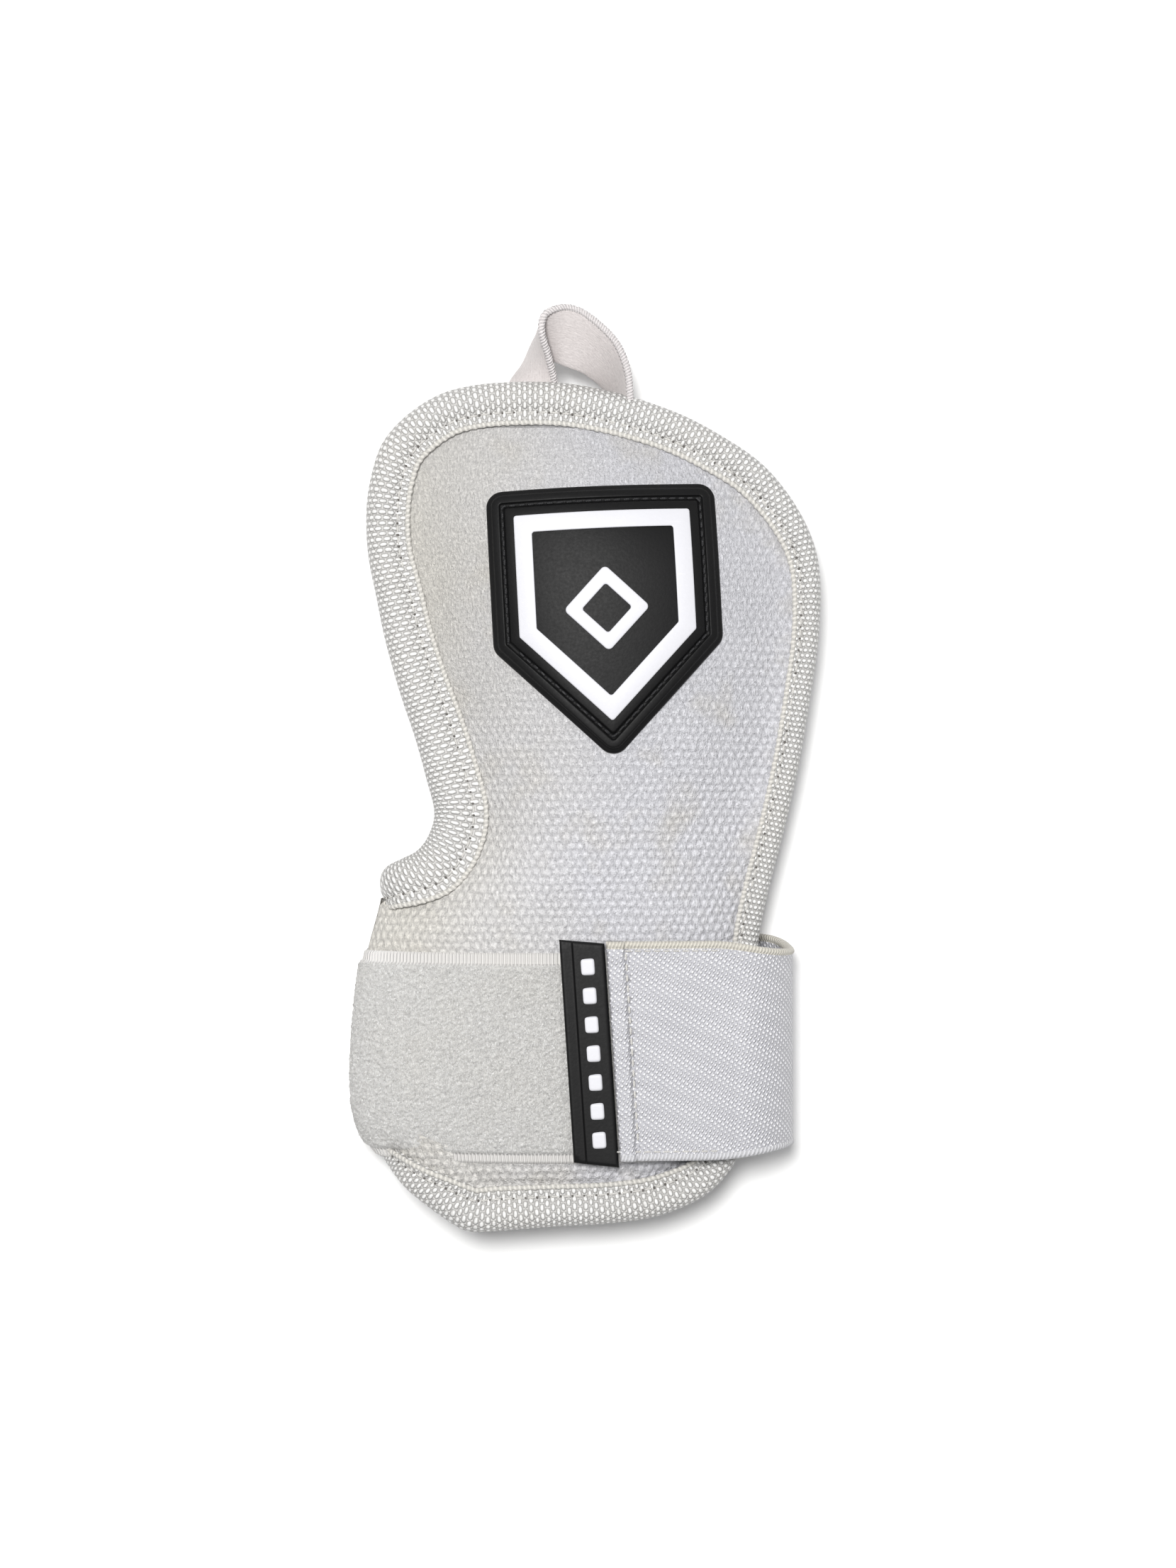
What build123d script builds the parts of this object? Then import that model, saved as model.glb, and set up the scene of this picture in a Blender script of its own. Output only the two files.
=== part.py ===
"""A padded baseball sliding mitt for the right hand, lying on its palm side.

+Y points to the fingertips, +X to the little finger, +Z out of the back of the hand. The origin is on the flat
palm face that the mitt rests on. All sizes are in millimetres.

The mitt is two guarded pads, one over the back of the hand and one under the palm, joined round the fingers by a
bound edge. Behind the wrist crease they part into a cuff, open on the little-finger side. An elastic strap sewn
under the palm half of the cuff comes round that side and closes on a pile panel.
"""

from math import degrees, atan2, sqrt
import os

from build123d import *

os.makedirs("parts", exist_ok=True)

# ---------------------------------------------------------------- driving dimensions
SEAM_Z = 21.5  # height of the plane where the two pads meet
FLANGE = 6.0  # thickness of each pad where the edge binding clamps it
SKIN = 1.3  # outer fabric with its backing
LINING = 1.0
TAPE = 1.5  # edge binding tape, folded and sewn
TAPE_WIDTH = 12.0  # how far the tape reaches in over each face
TAPE_ROUND = 3.5
SEAM_THREAD = 0.8
PLATE = 2.2  # hard guard plates
CREASE_Y = -38.0  # wrist crease
CUFF_END_Y = -150.0  # beyond the wrist opening

THUMB_HOLE = ((-47.0, -20.5), 15.0, 16.5)  # centre and half widths of the thumb's way out
THUMB_TAPE = 2.5

CUFF_PALM_Z = 2.6  # underside of the cuff's palm half
CUFF_PALM_X = 47.0  # its little-finger edge
SIDE_WALL = 3.0
PILE = 2.0  # pile panel's thickness
PILE_TOP_Y, PILE_BOTTOM_Y, PILE_RIGHT_X = -46.3, -112.3, 30.0
PILE_SIDE_LOW, PILE_SIDE_HIGH = 8.0, 25.3

ELASTIC = 2.2
STRAP_BEND_X = 47.0
STRAP_BEND_R = 18.6  # centre line of the strap where it rounds the wrist
STRAP_LOW_Z = CUFF_PALM_Z - ELASTIC / 2
STRAP_HIGH_Z = STRAP_LOW_Z + 2 * STRAP_BEND_R
STRAP_SEWN_X = -25.0  # the end sewn under the palm
STRAP_FRONT_RISE = 3.5  # the front run climbs this much towards its end
STRAP_TOP_Y, STRAP_BOTTOM_Y = -43.0, -113.0
STRAP_END = ((6.5, STRAP_TOP_Y), (11.1, STRAP_BOTTOM_Y))  # slanted end of the front run
TRIM = 0.5  # how far the bead along each strap edge stands proud
TRIM_WIDTH = 2.3
HEM, HEM_LENGTH = 0.9, 9.0
HOOK = 1.4
HOOK_LENGTH = 26.0
TAB_WIDTH, TAB_THICK = 14.4, 2.8
TAB_BORDER, TAB_STEP = 3.9, 0.8  # the thinner strip along the left edge
TAB_LOW_Z = STRAP_HIGH_Z + 1.8
TAB_CORNER = 2.0
BAR_COUNT, BAR_PITCH, BAR_SIZE = 7, 9.0, (4.6, 5.4, 0.6)
HINGE_GAP = 0.5

BADGE_CENTRE = (7.0, 58.0)
BADGE_TILT = 3.0
BADGE_WIDTH, BADGE_SHOULDER, BADGE_POINT, BADGE_TOP = 72.0, -8.0, -44.0, 42.0
BADGE_BASE, BADGE_BEVEL, BADGE_RAISE = 3.0, 1.4, 0.9
BADGE_CORNER, GROOVE_INSET = 5.0, 4.2

LOOP_LEGS_X = (-17.0, 14.0)
LOOP_AXIS_Y, LOOP_TOP_Y = 136.2, 158.0
LOOP_BAND, LOOP_WIDTH, LOOP_ROUND = 2.0, 18.0, 9.0
LOOP_START = 1.5  # the band starts this far from its hinge line

# Outlines as corners (x, y, radius), clockwise from the thumb side of the wrist; the first and last stay sharp.
FINGER_CORNERS = [
    (-66.0, -60.0, 0), (-65.3, -17.8, 6), (-45.3, -13.8, 12), (-71.8, 88.0, 30), (-70.5, 135.8, 38),
    (9.0, 135.0, 50), (61.0, 109.0, 30), (77.0, 72.0, 32), (72.5, 30.0, 60), (51.5, -60.0, 0),
]
# Where the pads start to rise, inside the tape.
PAD_CORNERS = [
    (-47.0, -60.0, 0), (-45.5, -22.0, 15), (-34.5, -6.0, 15), (-58.5, 90.0, 25), (-57.5, 122.8, 25),
    (6.0, 122.0, 45), (54.0, 98.0, 22), (64.0, 70.0, 24), (59.6, 31.0, 50), (38.5, -60.0, 0),
]
HAND_CORNERS = [
    (-38.0, -60.0, 0), (-33.0, 0.0, 30), (-55.0, 88.0, 25), (-53.0, 119.5, 22), (6.0, 118.5, 45),
    (50.0, 96.0, 20), (60.5, 68.0, 22), (56.0, 30.0, 50), (38.0, -60.0, 0),
]
PLATE_CORNERS = [
    (-20.0, -32.0, 0), (-24.0, 0.0, 40), (-42.0, 82.0, 20), (-36.0, 104.0, 14), (0.0, 107.0, 30),
    (36.0, 95.0, 14), (47.0, 66.0, 20), (31.0, -32.0, 0),
]
CUFF_CORNERS = [
    (-66.0, -30.0, 0), (-74.5, -56.0, 30), (-73.0, -112.0, 24), (-35.0, -136.0, 16), (26.0, -131.0, 30),
    (48.0, -116.0, 11), (57.5, -30.0, 0),
]

# Heights of the domed surfaces: (y, x of the middle, z of the middle), and the radius of the arc across, which is
# negative where the sides rise instead of falling away.
BACK_OUTER = [(-60, -8, 38), (-30, -4, 38.8), (20, 3, 43), (55, 3, 45), (85, 3, 43), (107, 3, 36.5),
              (122, 3, 29), (150, 3, 12)]
BACK_OUTER_R = 110
BACK_CEILING = [(-60, -6, 28), (10, 3, 30), (60, 3, 30.5), (100, 3, 28), (125, 3, 24.5), (150, 3, 20)]
BACK_CEILING_R = 260
BACK_PLATE = [(-60, 0, 31.5), (10, 3, 34.4), (60, 3, 35), (100, 3, 31.5), (130, 3, 27)]
BACK_PLATE_R = 150
PALM_OUTER = [(-60, 0, -2), (0, 3, -2), (60, 3, -2), (88, 3, 0), (108, 3, 5.5), (122, 3, 13), (150, 3, 32)]
PALM_OUTER_R = -120
PALM_FLOOR = [(-60, 0, 12.5), (60, 3, 12.5), (100, 3, 13.5), (125, 3, 17), (150, 3, 22)]
PALM_FLOOR_R = -260
PALM_PLATE = [(-60, 0, 3.6), (0, 3, 3.6), (60, 3, 3.6), (90, 3, 5.4), (110, 3, 8.5), (130, 3, 13)]
PALM_PLATE_R = -150
CUFF_OUTER = [(CUFF_END_Y, -11, 36), (-115, -11, 38), (-70, -11, 38), (-30, -8, 38)]
CUFF_OUTER_R = 150
CUFF_CEILING = [(CUFF_END_Y, -11, 27), (-80, -11, 27.5), (-30, -6, 28.3)]
CUFF_CEILING_R = 300
CUFF_FLOOR = [(CUFF_END_Y, -11, 11.5), (-80, -11, 11.5), (-30, -6, 11.8)]
CUFF_FLOOR_R = -500
HALF_SPAN = 88.0
FAR = 90.0  # well past any surface of the mitt


# ---------------------------------------------------------------- helpers
def beyond_surface(stations, radius, lift, side):
    """The solid below (side -1) or above (side 1) a surface that is an arc across and runs along the stations."""
    with BuildPart() as body:
        for y, middle, crown in stations:
            level = crown + lift
            bow = abs(radius) - sqrt(radius**2 - HALF_SPAN**2)
            edge = level - bow if radius > 0 else level + bow
            far = level + side * FAR
            with BuildSketch(Plane.XZ.offset(-y)):
                with BuildLine():
                    ThreePointArc((middle - HALF_SPAN, edge), (middle, level), (middle + HALF_SPAN, edge))
                    Polyline(
                        (middle + HALF_SPAN, edge), (middle + HALF_SPAN, far),
                        (middle - HALF_SPAN, far), (middle - HALF_SPAN, edge),
                    )
                make_face()
        loft()
    return body.part


def below(stations, radius, lift=0.0):
    return beyond_surface(stations, radius, lift, -1)


def above(stations, radius, lift=0.0):
    return beyond_surface(stations, radius, lift, 1)


def closed_sketch(corners):
    """A sketch inside straight lines between rounded corners, closed by a straight line at the wrist."""
    points = [(x, y) for x, y, _ in corners]
    with BuildSketch() as outline:
        with BuildLine():
            FilletPolyline(*points, radius=[radius for _, _, radius in corners[1:-1]])
            Line(points[-1], points[0])
        make_face()
    return outline.sketch


finger_outline = closed_sketch(FINGER_CORNERS)
pad_outline = closed_sketch(PAD_CORNERS)
hand_outline = closed_sketch(HAND_CORNERS)
plate_outline = closed_sketch(PLATE_CORNERS)
cuff_outline = closed_sketch(CUFF_CORNERS)


def slab(outline, inset, low, high):
    """The outline moved in by inset, from height low to high."""
    with BuildPart() as body:
        with BuildSketch(Plane.XY.offset(low)):
            add(outline)
            if inset:
                offset(amount=-inset, kind=Kind.INTERSECTION, mode=Mode.REPLACE)
        extrude(amount=high - low)
    return body.part


def keep_box(x=(-200, 200), y=(-200, 200), z=(-200, 200)):
    """Keeps only what lies in the given ranges. Used inside a part that is being built."""
    with Locations((x[0], y[0], z[0])):
        Box(x[1] - x[0], y[1] - y[0], z[1] - z[0], align=(Align.MIN, Align.MIN, Align.MIN), mode=Mode.INTERSECT)


def keep_fingers():
    keep_box(y=(CREASE_Y, 200))


def keep_cuff():
    keep_box(y=(CUFF_END_Y, CREASE_Y))


def save(builder, name):
    """Labels a finished part and writes its STEP file."""
    builder.part.label = name
    export_step(builder.part, f"parts/{name}.step")


# ---------------------------------------------------------------- shared solids
back_top = SEAM_Z + FLANGE
palm_low = SEAM_Z - FLANGE

back_below = below(BACK_OUTER, BACK_OUTER_R)
back_below_skin = below(BACK_OUTER, BACK_OUTER_R, -SKIN)
palm_above = above(PALM_OUTER, PALM_OUTER_R)
palm_above_skin = above(PALM_OUTER, PALM_OUTER_R, SKIN)
hand_column = slab(hand_outline, 0, -5, 80)

with BuildPart() as thumb_column:
    centre, half_x, half_y = THUMB_HOLE
    with BuildSketch(Plane.XY.offset(-5)):
        with Locations(centre):
            Ellipse(half_x, half_y)
    extrude(amount=SEAM_Z + 5)


def pad_solid(dome, inset, bottom, top, flange_bottom, flange_top, side):
    """A pad of the finger part: a domed middle inside pad_outline and a flat flange under the edge tape.

    The middle reaches a little past the seam plane while it is joined to the flange, and is then cut there.
    """
    with BuildPart() as flange:
        add(slab(finger_outline, TAPE, flange_bottom, flange_top))
        keep_fingers()
    with BuildPart() as body:
        add(slab(pad_outline, inset, bottom, top))
        keep_fingers()
        add(dome, mode=Mode.INTERSECT)
        add(flange.part)
        if side > 0:
            keep_box(z=(SEAM_Z, 100))
        else:
            keep_box(z=(-10, SEAM_Z))
    return body.part


back_pad = pad_solid(back_below, 0, SEAM_Z - 0.5, 60, SEAM_Z, back_top, 1)
back_filling = pad_solid(back_below_skin, SKIN, SEAM_Z - 0.5, 60, SEAM_Z, back_top - SKIN, 1)
palm_pad = pad_solid(palm_above, 0, 0, SEAM_Z + 0.5, palm_low, SEAM_Z, -1)
palm_filling = pad_solid(palm_above_skin, SKIN, SKIN, SEAM_Z + 0.5, palm_low + SKIN, SEAM_Z, -1)

with BuildPart() as cuff_back:
    add(slab(cuff_outline, TAPE, 0, 60))
    add(below(CUFF_OUTER, CUFF_OUTER_R), mode=Mode.INTERSECT)
    add(above(CUFF_CEILING, CUFF_CEILING_R), mode=Mode.INTERSECT)
    keep_cuff()

with BuildPart() as cuff_palm:
    add(slab(cuff_outline, TAPE, CUFF_PALM_Z, SEAM_Z))
    add(below(CUFF_FLOOR, CUFF_FLOOR_R), mode=Mode.INTERSECT)
    keep_box(x=(-100, CUFF_PALM_X), y=(CUFF_END_Y, CREASE_Y))

# ---------------------------------------------------------------- the back pad
with BuildPart() as dorsal_cover:
    add(back_pad)
    add(back_filling, mode=Mode.SUBTRACT)
save(dorsal_cover, "dorsal_cover")

with BuildPart() as dorsal_plate:
    add(slab(plate_outline, 0, 10, 60))
    add(above(BACK_PLATE, BACK_PLATE_R), mode=Mode.INTERSECT)
    add(below(BACK_PLATE, BACK_PLATE_R, PLATE), mode=Mode.INTERSECT)
save(dorsal_plate, "dorsal_plate")

with BuildPart() as dorsal_lining:
    add(hand_column)
    add(below(BACK_CEILING, BACK_CEILING_R, LINING), mode=Mode.INTERSECT)
    add(above(BACK_CEILING, BACK_CEILING_R), mode=Mode.INTERSECT)
    keep_fingers()
save(dorsal_lining, "dorsal_lining")

with BuildPart() as hand_space:
    add(hand_column)
    add(below(BACK_CEILING, BACK_CEILING_R, LINING), mode=Mode.INTERSECT)
    add(above(PALM_FLOOR, PALM_FLOOR_R, -LINING), mode=Mode.INTERSECT)

with BuildPart() as dorsal_foam:
    add(back_filling)
    add(hand_space.part, mode=Mode.SUBTRACT)
    add(dorsal_plate.part, mode=Mode.SUBTRACT)
save(dorsal_foam, "dorsal_foam")

# ---------------------------------------------------------------- the palm pad
with BuildPart() as palm_cover:
    add(palm_pad)
    add(palm_filling, mode=Mode.SUBTRACT)
    add(thumb_column.part, mode=Mode.SUBTRACT)
save(palm_cover, "palm_cover")

with BuildPart() as palm_plate:
    add(slab(plate_outline, 0, 0, 40))
    add(above(PALM_PLATE, PALM_PLATE_R), mode=Mode.INTERSECT)
    add(below(PALM_PLATE, PALM_PLATE_R, PLATE), mode=Mode.INTERSECT)
save(palm_plate, "palm_plate")

with BuildPart() as palm_lining:
    add(hand_column)
    add(below(PALM_FLOOR, PALM_FLOOR_R), mode=Mode.INTERSECT)
    add(above(PALM_FLOOR, PALM_FLOOR_R, -LINING), mode=Mode.INTERSECT)
    add(thumb_column.part, mode=Mode.SUBTRACT)
    keep_fingers()
save(palm_lining, "palm_lining")

with BuildPart() as palm_foam:
    add(palm_filling)
    add(hand_space.part, mode=Mode.SUBTRACT)
    add(palm_plate.part, mode=Mode.SUBTRACT)
    add(thumb_column.part, mode=Mode.SUBTRACT)
save(palm_foam, "palm_foam")

# ---------------------------------------------------------------- the bound edges of the finger part
tape_low, tape_high = palm_low - TAPE, back_top + TAPE
with BuildPart() as finger_tape_body:
    add(slab(finger_outline, 0, tape_low, tape_high))
    rims = faces().filter_by(Axis.Z).edges().filter_by(lambda edge: edge.center().Y > -59)
    fillet(rims, radius=TAPE_ROUND)

with BuildPart() as finger_binding:
    add(finger_tape_body.part)
    keep_fingers()
    add(slab(finger_outline, TAPE, palm_low, back_top), mode=Mode.SUBTRACT)
    add(slab(finger_outline, TAPE_WIDTH, tape_low - 1, tape_high + 1), mode=Mode.SUBTRACT)
    add(back_pad, mode=Mode.SUBTRACT)
    add(palm_pad, mode=Mode.SUBTRACT)
    add(thumb_column.part, mode=Mode.SUBTRACT)
save(finger_binding, "finger_binding")

with BuildPart() as binding_seam:
    add(slab(finger_outline, TAPE_WIDTH - 2.2, tape_high, tape_high + 0.4))
    keep_fingers()
    add(slab(finger_outline, TAPE_WIDTH - 2.2 + SEAM_THREAD, tape_high - 1, tape_high + 1), mode=Mode.SUBTRACT)
    add(back_pad, mode=Mode.SUBTRACT)
save(binding_seam, "binding_seam")

with BuildPart() as thumb_hole_binding:
    with BuildSketch(Plane.XY):
        with Locations(centre):
            Ellipse(half_x, half_y)
            Ellipse(half_x - THUMB_TAPE, half_y - THUMB_TAPE, mode=Mode.SUBTRACT)
    extrude(amount=SEAM_Z)
    add(palm_above, mode=Mode.INTERSECT)
    add(slab(finger_outline, 0, 0, SEAM_Z), mode=Mode.INTERSECT)
    keep_fingers()
save(thumb_hole_binding, "thumb_hole_binding")

# ---------------------------------------------------------------- the cuff
with BuildPart() as cuff_dorsal_cover:
    add(cuff_back.part)
    add(below(CUFF_OUTER, CUFF_OUTER_R, -SKIN), mode=Mode.SUBTRACT)
save(cuff_dorsal_cover, "cuff_dorsal_cover")

with BuildPart() as cuff_dorsal_lining:
    add(cuff_back.part)
    add(above(CUFF_CEILING, CUFF_CEILING_R, LINING), mode=Mode.SUBTRACT)
    add(below(CUFF_OUTER, CUFF_OUTER_R, -SKIN), mode=Mode.INTERSECT)
save(cuff_dorsal_lining, "cuff_dorsal_lining")

with BuildPart() as cuff_dorsal_foam:
    add(cuff_back.part)
    add(below(CUFF_OUTER, CUFF_OUTER_R, -SKIN), mode=Mode.INTERSECT)
    add(above(CUFF_CEILING, CUFF_CEILING_R, LINING), mode=Mode.INTERSECT)
save(cuff_dorsal_foam, "cuff_dorsal_foam")

with BuildPart() as cuff_palm_cover:
    add(cuff_palm.part)
    keep_box(z=(0, CUFF_PALM_Z + SKIN))
save(cuff_palm_cover, "cuff_palm_cover")

with BuildPart() as cuff_palm_lining:
    add(cuff_palm.part)
    add(below(CUFF_FLOOR, CUFF_FLOOR_R, -LINING), mode=Mode.SUBTRACT)
save(cuff_palm_lining, "cuff_palm_lining")

with BuildPart() as cuff_palm_foam:
    add(cuff_palm.part)
    add(below(CUFF_FLOOR, CUFF_FLOOR_R, -LINING), mode=Mode.INTERSECT)
    keep_box(z=(CUFF_PALM_Z + SKIN, 60))
save(cuff_palm_foam, "cuff_palm_foam")

with BuildPart() as cuff_side_wrap:
    add(slab(cuff_outline, 0, CUFF_PALM_Z, 60))
    add(slab(cuff_outline, SIDE_WALL, 0, 61), mode=Mode.SUBTRACT)
    add(below(CUFF_OUTER, CUFF_OUTER_R), mode=Mode.INTERSECT)
    add(cuff_back.part, mode=Mode.SUBTRACT)
    add(cuff_palm.part, mode=Mode.SUBTRACT)
    keep_box(x=(-90, -50), y=(PILE_BOTTOM_Y, CREASE_Y))
save(cuff_side_wrap, "cuff_side_wrap")

with BuildPart() as cuff_dorsal_binding:
    add(slab(cuff_outline, 0, 0, 60))
    add(below(CUFF_OUTER, CUFF_OUTER_R, TAPE), mode=Mode.INTERSECT)
    add(above(CUFF_CEILING, CUFF_CEILING_R, -TAPE), mode=Mode.INTERSECT)
    add(cuff_back.part, mode=Mode.SUBTRACT)
    add(slab(cuff_outline, TAPE_WIDTH, 0, 61), mode=Mode.SUBTRACT)
    keep_box(y=(CUFF_END_Y, PILE_BOTTOM_Y - 0.5))
save(cuff_dorsal_binding, "cuff_dorsal_binding")

with BuildPart() as cuff_palm_binding:
    add(slab(cuff_outline, 0, CUFF_PALM_Z - TAPE, 60))
    add(below(CUFF_FLOOR, CUFF_FLOOR_R, TAPE), mode=Mode.INTERSECT)
    add(cuff_palm.part, mode=Mode.SUBTRACT)
    add(slab(cuff_outline, TAPE_WIDTH, 0, 61), mode=Mode.SUBTRACT)
    keep_box(x=(-100, CUFF_PALM_X), y=(CUFF_END_Y, STRAP_BOTTOM_Y - 0.5))
save(cuff_palm_binding, "cuff_palm_binding")

with BuildPart() as cuff_body:
    add(slab(cuff_outline, 0, 0, 60))
    add(below(CUFF_OUTER, CUFF_OUTER_R), mode=Mode.INTERSECT)
cuff_solid = cuff_body.part

with BuildPart() as loop_panel:
    add(slab(cuff_outline, 0, 0, 60))
    add(below(CUFF_OUTER, CUFF_OUTER_R, PILE), mode=Mode.INTERSECT)
    add(slab(cuff_outline, -PILE, PILE_SIDE_LOW, PILE_SIDE_HIGH))
    add(cuff_solid, mode=Mode.SUBTRACT)
    keep_box(x=(-90, PILE_RIGHT_X), y=(PILE_BOTTOM_Y, PILE_TOP_Y))
save(loop_panel, "loop_panel")

# ---------------------------------------------------------------- the wrist strap
bend_z = STRAP_LOW_Z + STRAP_BEND_R
strap_length = STRAP_TOP_Y - STRAP_BOTTOM_Y
front_start = (STRAP_BEND_X - HINGE_GAP, STRAP_HIGH_Z)
front_far = (0.0, STRAP_HIGH_Z + STRAP_FRONT_RISE)


def strap_run(low, high, margin=0.0):
    """The front run's band between two heights over its centre line, cut level with the strap's long edges."""
    (x0, z0), (x1, z1) = front_start, front_far
    with BuildPart() as body:
        with BuildSketch(Plane.XZ.offset(-STRAP_TOP_Y + margin)):
            with BuildLine():
                Polyline((x0, z0 + low), (x0, z0 + high), (x1, z1 + high), (x1, z1 + low), close=True)
            make_face()
        extrude(amount=strap_length - 2 * margin)
    return body.part


def right_of_end(shift):
    """Everything to the little-finger side of the strap's slanted end, moved by shift."""
    (x0, y0), (x1, y1) = STRAP_END
    slope = (x1 - x0) / (y1 - y0)
    top_x = x0 + shift + slope * (10 - y0)
    bottom_x = x0 + shift + slope * (-150 - y0)
    with BuildPart() as body:
        with BuildSketch():
            with BuildLine():
                Polyline((top_x, 10), (200, 10), (200, -150), (bottom_x, -150), close=True)
            make_face()
        extrude(amount=80)
    return body.part


with BuildPart() as strap_anchor:
    with BuildSketch(Plane.XZ.offset(-STRAP_TOP_Y)):
        with Locations((STRAP_BEND_X, bend_z)):
            Circle(STRAP_BEND_R + ELASTIC / 2)
            Circle(STRAP_BEND_R - ELASTIC / 2, mode=Mode.SUBTRACT)
            Rectangle(50, 50, align=(Align.MAX, Align.CENTER), mode=Mode.SUBTRACT)
        with Locations((STRAP_SEWN_X, STRAP_LOW_Z)):
            Rectangle(STRAP_BEND_X - STRAP_SEWN_X, ELASTIC, align=(Align.MIN, Align.CENTER))
    extrude(amount=strap_length)
save(strap_anchor, "strap_anchor")

with BuildPart() as wrist_strap:
    add(strap_run(-ELASTIC / 2, ELASTIC / 2))
    add(right_of_end(0), mode=Mode.INTERSECT)
save(wrist_strap, "wrist_strap")

with BuildPart() as strap_edge_trim:
    add(strap_run(ELASTIC / 2, ELASTIC / 2 + TRIM))
    add(strap_run(ELASTIC / 2 - 1, ELASTIC / 2 + 1, TRIM_WIDTH), mode=Mode.SUBTRACT)
    add(right_of_end(0), mode=Mode.INTERSECT)
save(strap_edge_trim, "strap_edge_trim")

with BuildPart() as strap_hem:
    add(strap_run(-ELASTIC / 2 - HEM, -ELASTIC / 2, 1.0))
    add(right_of_end(0), mode=Mode.INTERSECT)
    add(right_of_end(HEM_LENGTH), mode=Mode.SUBTRACT)
save(strap_hem, "strap_hem")

with BuildPart() as hook_patch:
    add(strap_run(-ELASTIC / 2 - HOOK, -ELASTIC / 2, 3.0))
    add(right_of_end(HEM_LENGTH + 1), mode=Mode.INTERSECT)
    add(right_of_end(HEM_LENGTH + 1 + HOOK_LENGTH), mode=Mode.SUBTRACT)
save(hook_patch, "hook_patch")

# ---------------------------------------------------------------- the pull tab
(end_top_x, end_top_y), (end_low_x, end_low_y) = STRAP_END
end_tilt = degrees(atan2(end_low_x - end_top_x, end_top_y - end_low_y))

with BuildPart() as pull_tab:
    for left, thick in ((TAB_WIDTH, TAB_THICK - TAB_STEP), (TAB_WIDTH - TAB_BORDER, TAB_THICK)):
        with BuildSketch(Plane.XY.offset(TAB_LOW_Z)):
            with BuildLine():
                Polyline(
                    (end_top_x - HINGE_GAP, end_top_y + 0.3), (end_low_x - HINGE_GAP, end_low_y - 0.3),
                    (end_low_x - left, end_low_y + 1.4), (end_top_x - left, end_top_y + 1.4),
                    close=True,
                )
            make_face()
            fillet(vertices().sort_by(Axis.X)[:2], radius=TAB_CORNER)
        extrude(amount=thick)
save(pull_tab, "pull_tab")

with BuildPart() as tab_grip_bars:
    tab_middle = ((end_top_x + end_low_x) / 2 - 0.4 * TAB_WIDTH, (end_top_y + end_low_y) / 2, TAB_LOW_Z + TAB_THICK)
    with Locations(Location(tab_middle, (0, 0, end_tilt))):
        with GridLocations(0, BAR_PITCH, 1, BAR_COUNT):
            Box(*BAR_SIZE, align=(Align.CENTER, Align.CENTER, Align.MIN))
save(tab_grip_bars, "tab_grip_bars")

# ---------------------------------------------------------------- the badge
badge_plane = Plane(Location((BADGE_CENTRE[0], BADGE_CENTRE[1], 10), (0, 0, BADGE_TILT)))


def badge_layer(inset, low, high):
    """The badge's outline moved in by inset, between two heights over the back pad's dome."""
    half = BADGE_WIDTH / 2
    with BuildPart() as body:
        with BuildSketch(badge_plane):
            with BuildLine():
                FilletPolyline(
                    (-half, BADGE_SHOULDER), (-half, BADGE_TOP), (half, BADGE_TOP), (half, BADGE_SHOULDER),
                    (0, BADGE_POINT), radius=BADGE_CORNER, close=True,
                )
            make_face()
            if inset:
                offset(amount=-inset, kind=Kind.INTERSECTION, mode=Mode.REPLACE)
        extrude(amount=60)
        add(above(BACK_OUTER, BACK_OUTER_R, low), mode=Mode.INTERSECT)
        add(below(BACK_OUTER, BACK_OUTER_R, high), mode=Mode.INTERSECT)
    return body.part


def diamond_layer(half_width, low, high):
    with BuildPart() as body:
        with BuildSketch(badge_plane):
            with Locations((0, 3)):
                RectangleRounded(2 * half_width, 2 * half_width, 1.2, rotation=45)
        extrude(amount=60)
        add(above(BACK_OUTER, BACK_OUTER_R, low), mode=Mode.INTERSECT)
        add(below(BACK_OUTER, BACK_OUTER_R, high), mode=Mode.INTERSECT)
    return body.part


groove_floor = BADGE_BASE - 1.0
with BuildPart() as badge_base:
    add(badge_layer(0, 0, BADGE_BASE - BADGE_BEVEL))
    add(badge_layer(BADGE_BEVEL, 0, BADGE_BASE))
    add(badge_layer(GROOVE_INSET, groove_floor, BADGE_BASE + 1), mode=Mode.SUBTRACT)
    add(badge_layer(GROOVE_INSET + 1.6, groove_floor, BADGE_BASE))
save(badge_base, "badge_base")

with BuildPart() as badge_stitching:
    add(badge_layer(GROOVE_INSET + 0.4, groove_floor, groove_floor + 0.7))
    add(badge_layer(GROOVE_INSET + 1.2, groove_floor - 1, groove_floor + 2), mode=Mode.SUBTRACT)
save(badge_stitching, "badge_stitching")

with BuildPart() as badge_inlay:
    add(badge_layer(8.5, BADGE_BASE, BADGE_BASE + BADGE_RAISE))
    add(badge_layer(14.0, BADGE_BASE - 1, BADGE_BASE + 2), mode=Mode.SUBTRACT)
    add(diamond_layer(9.5, BADGE_BASE, BADGE_BASE + BADGE_RAISE))
    add(diamond_layer(5.5, BADGE_BASE - 1, BADGE_BASE + 2), mode=Mode.SUBTRACT)
save(badge_inlay, "badge_inlay")

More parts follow.
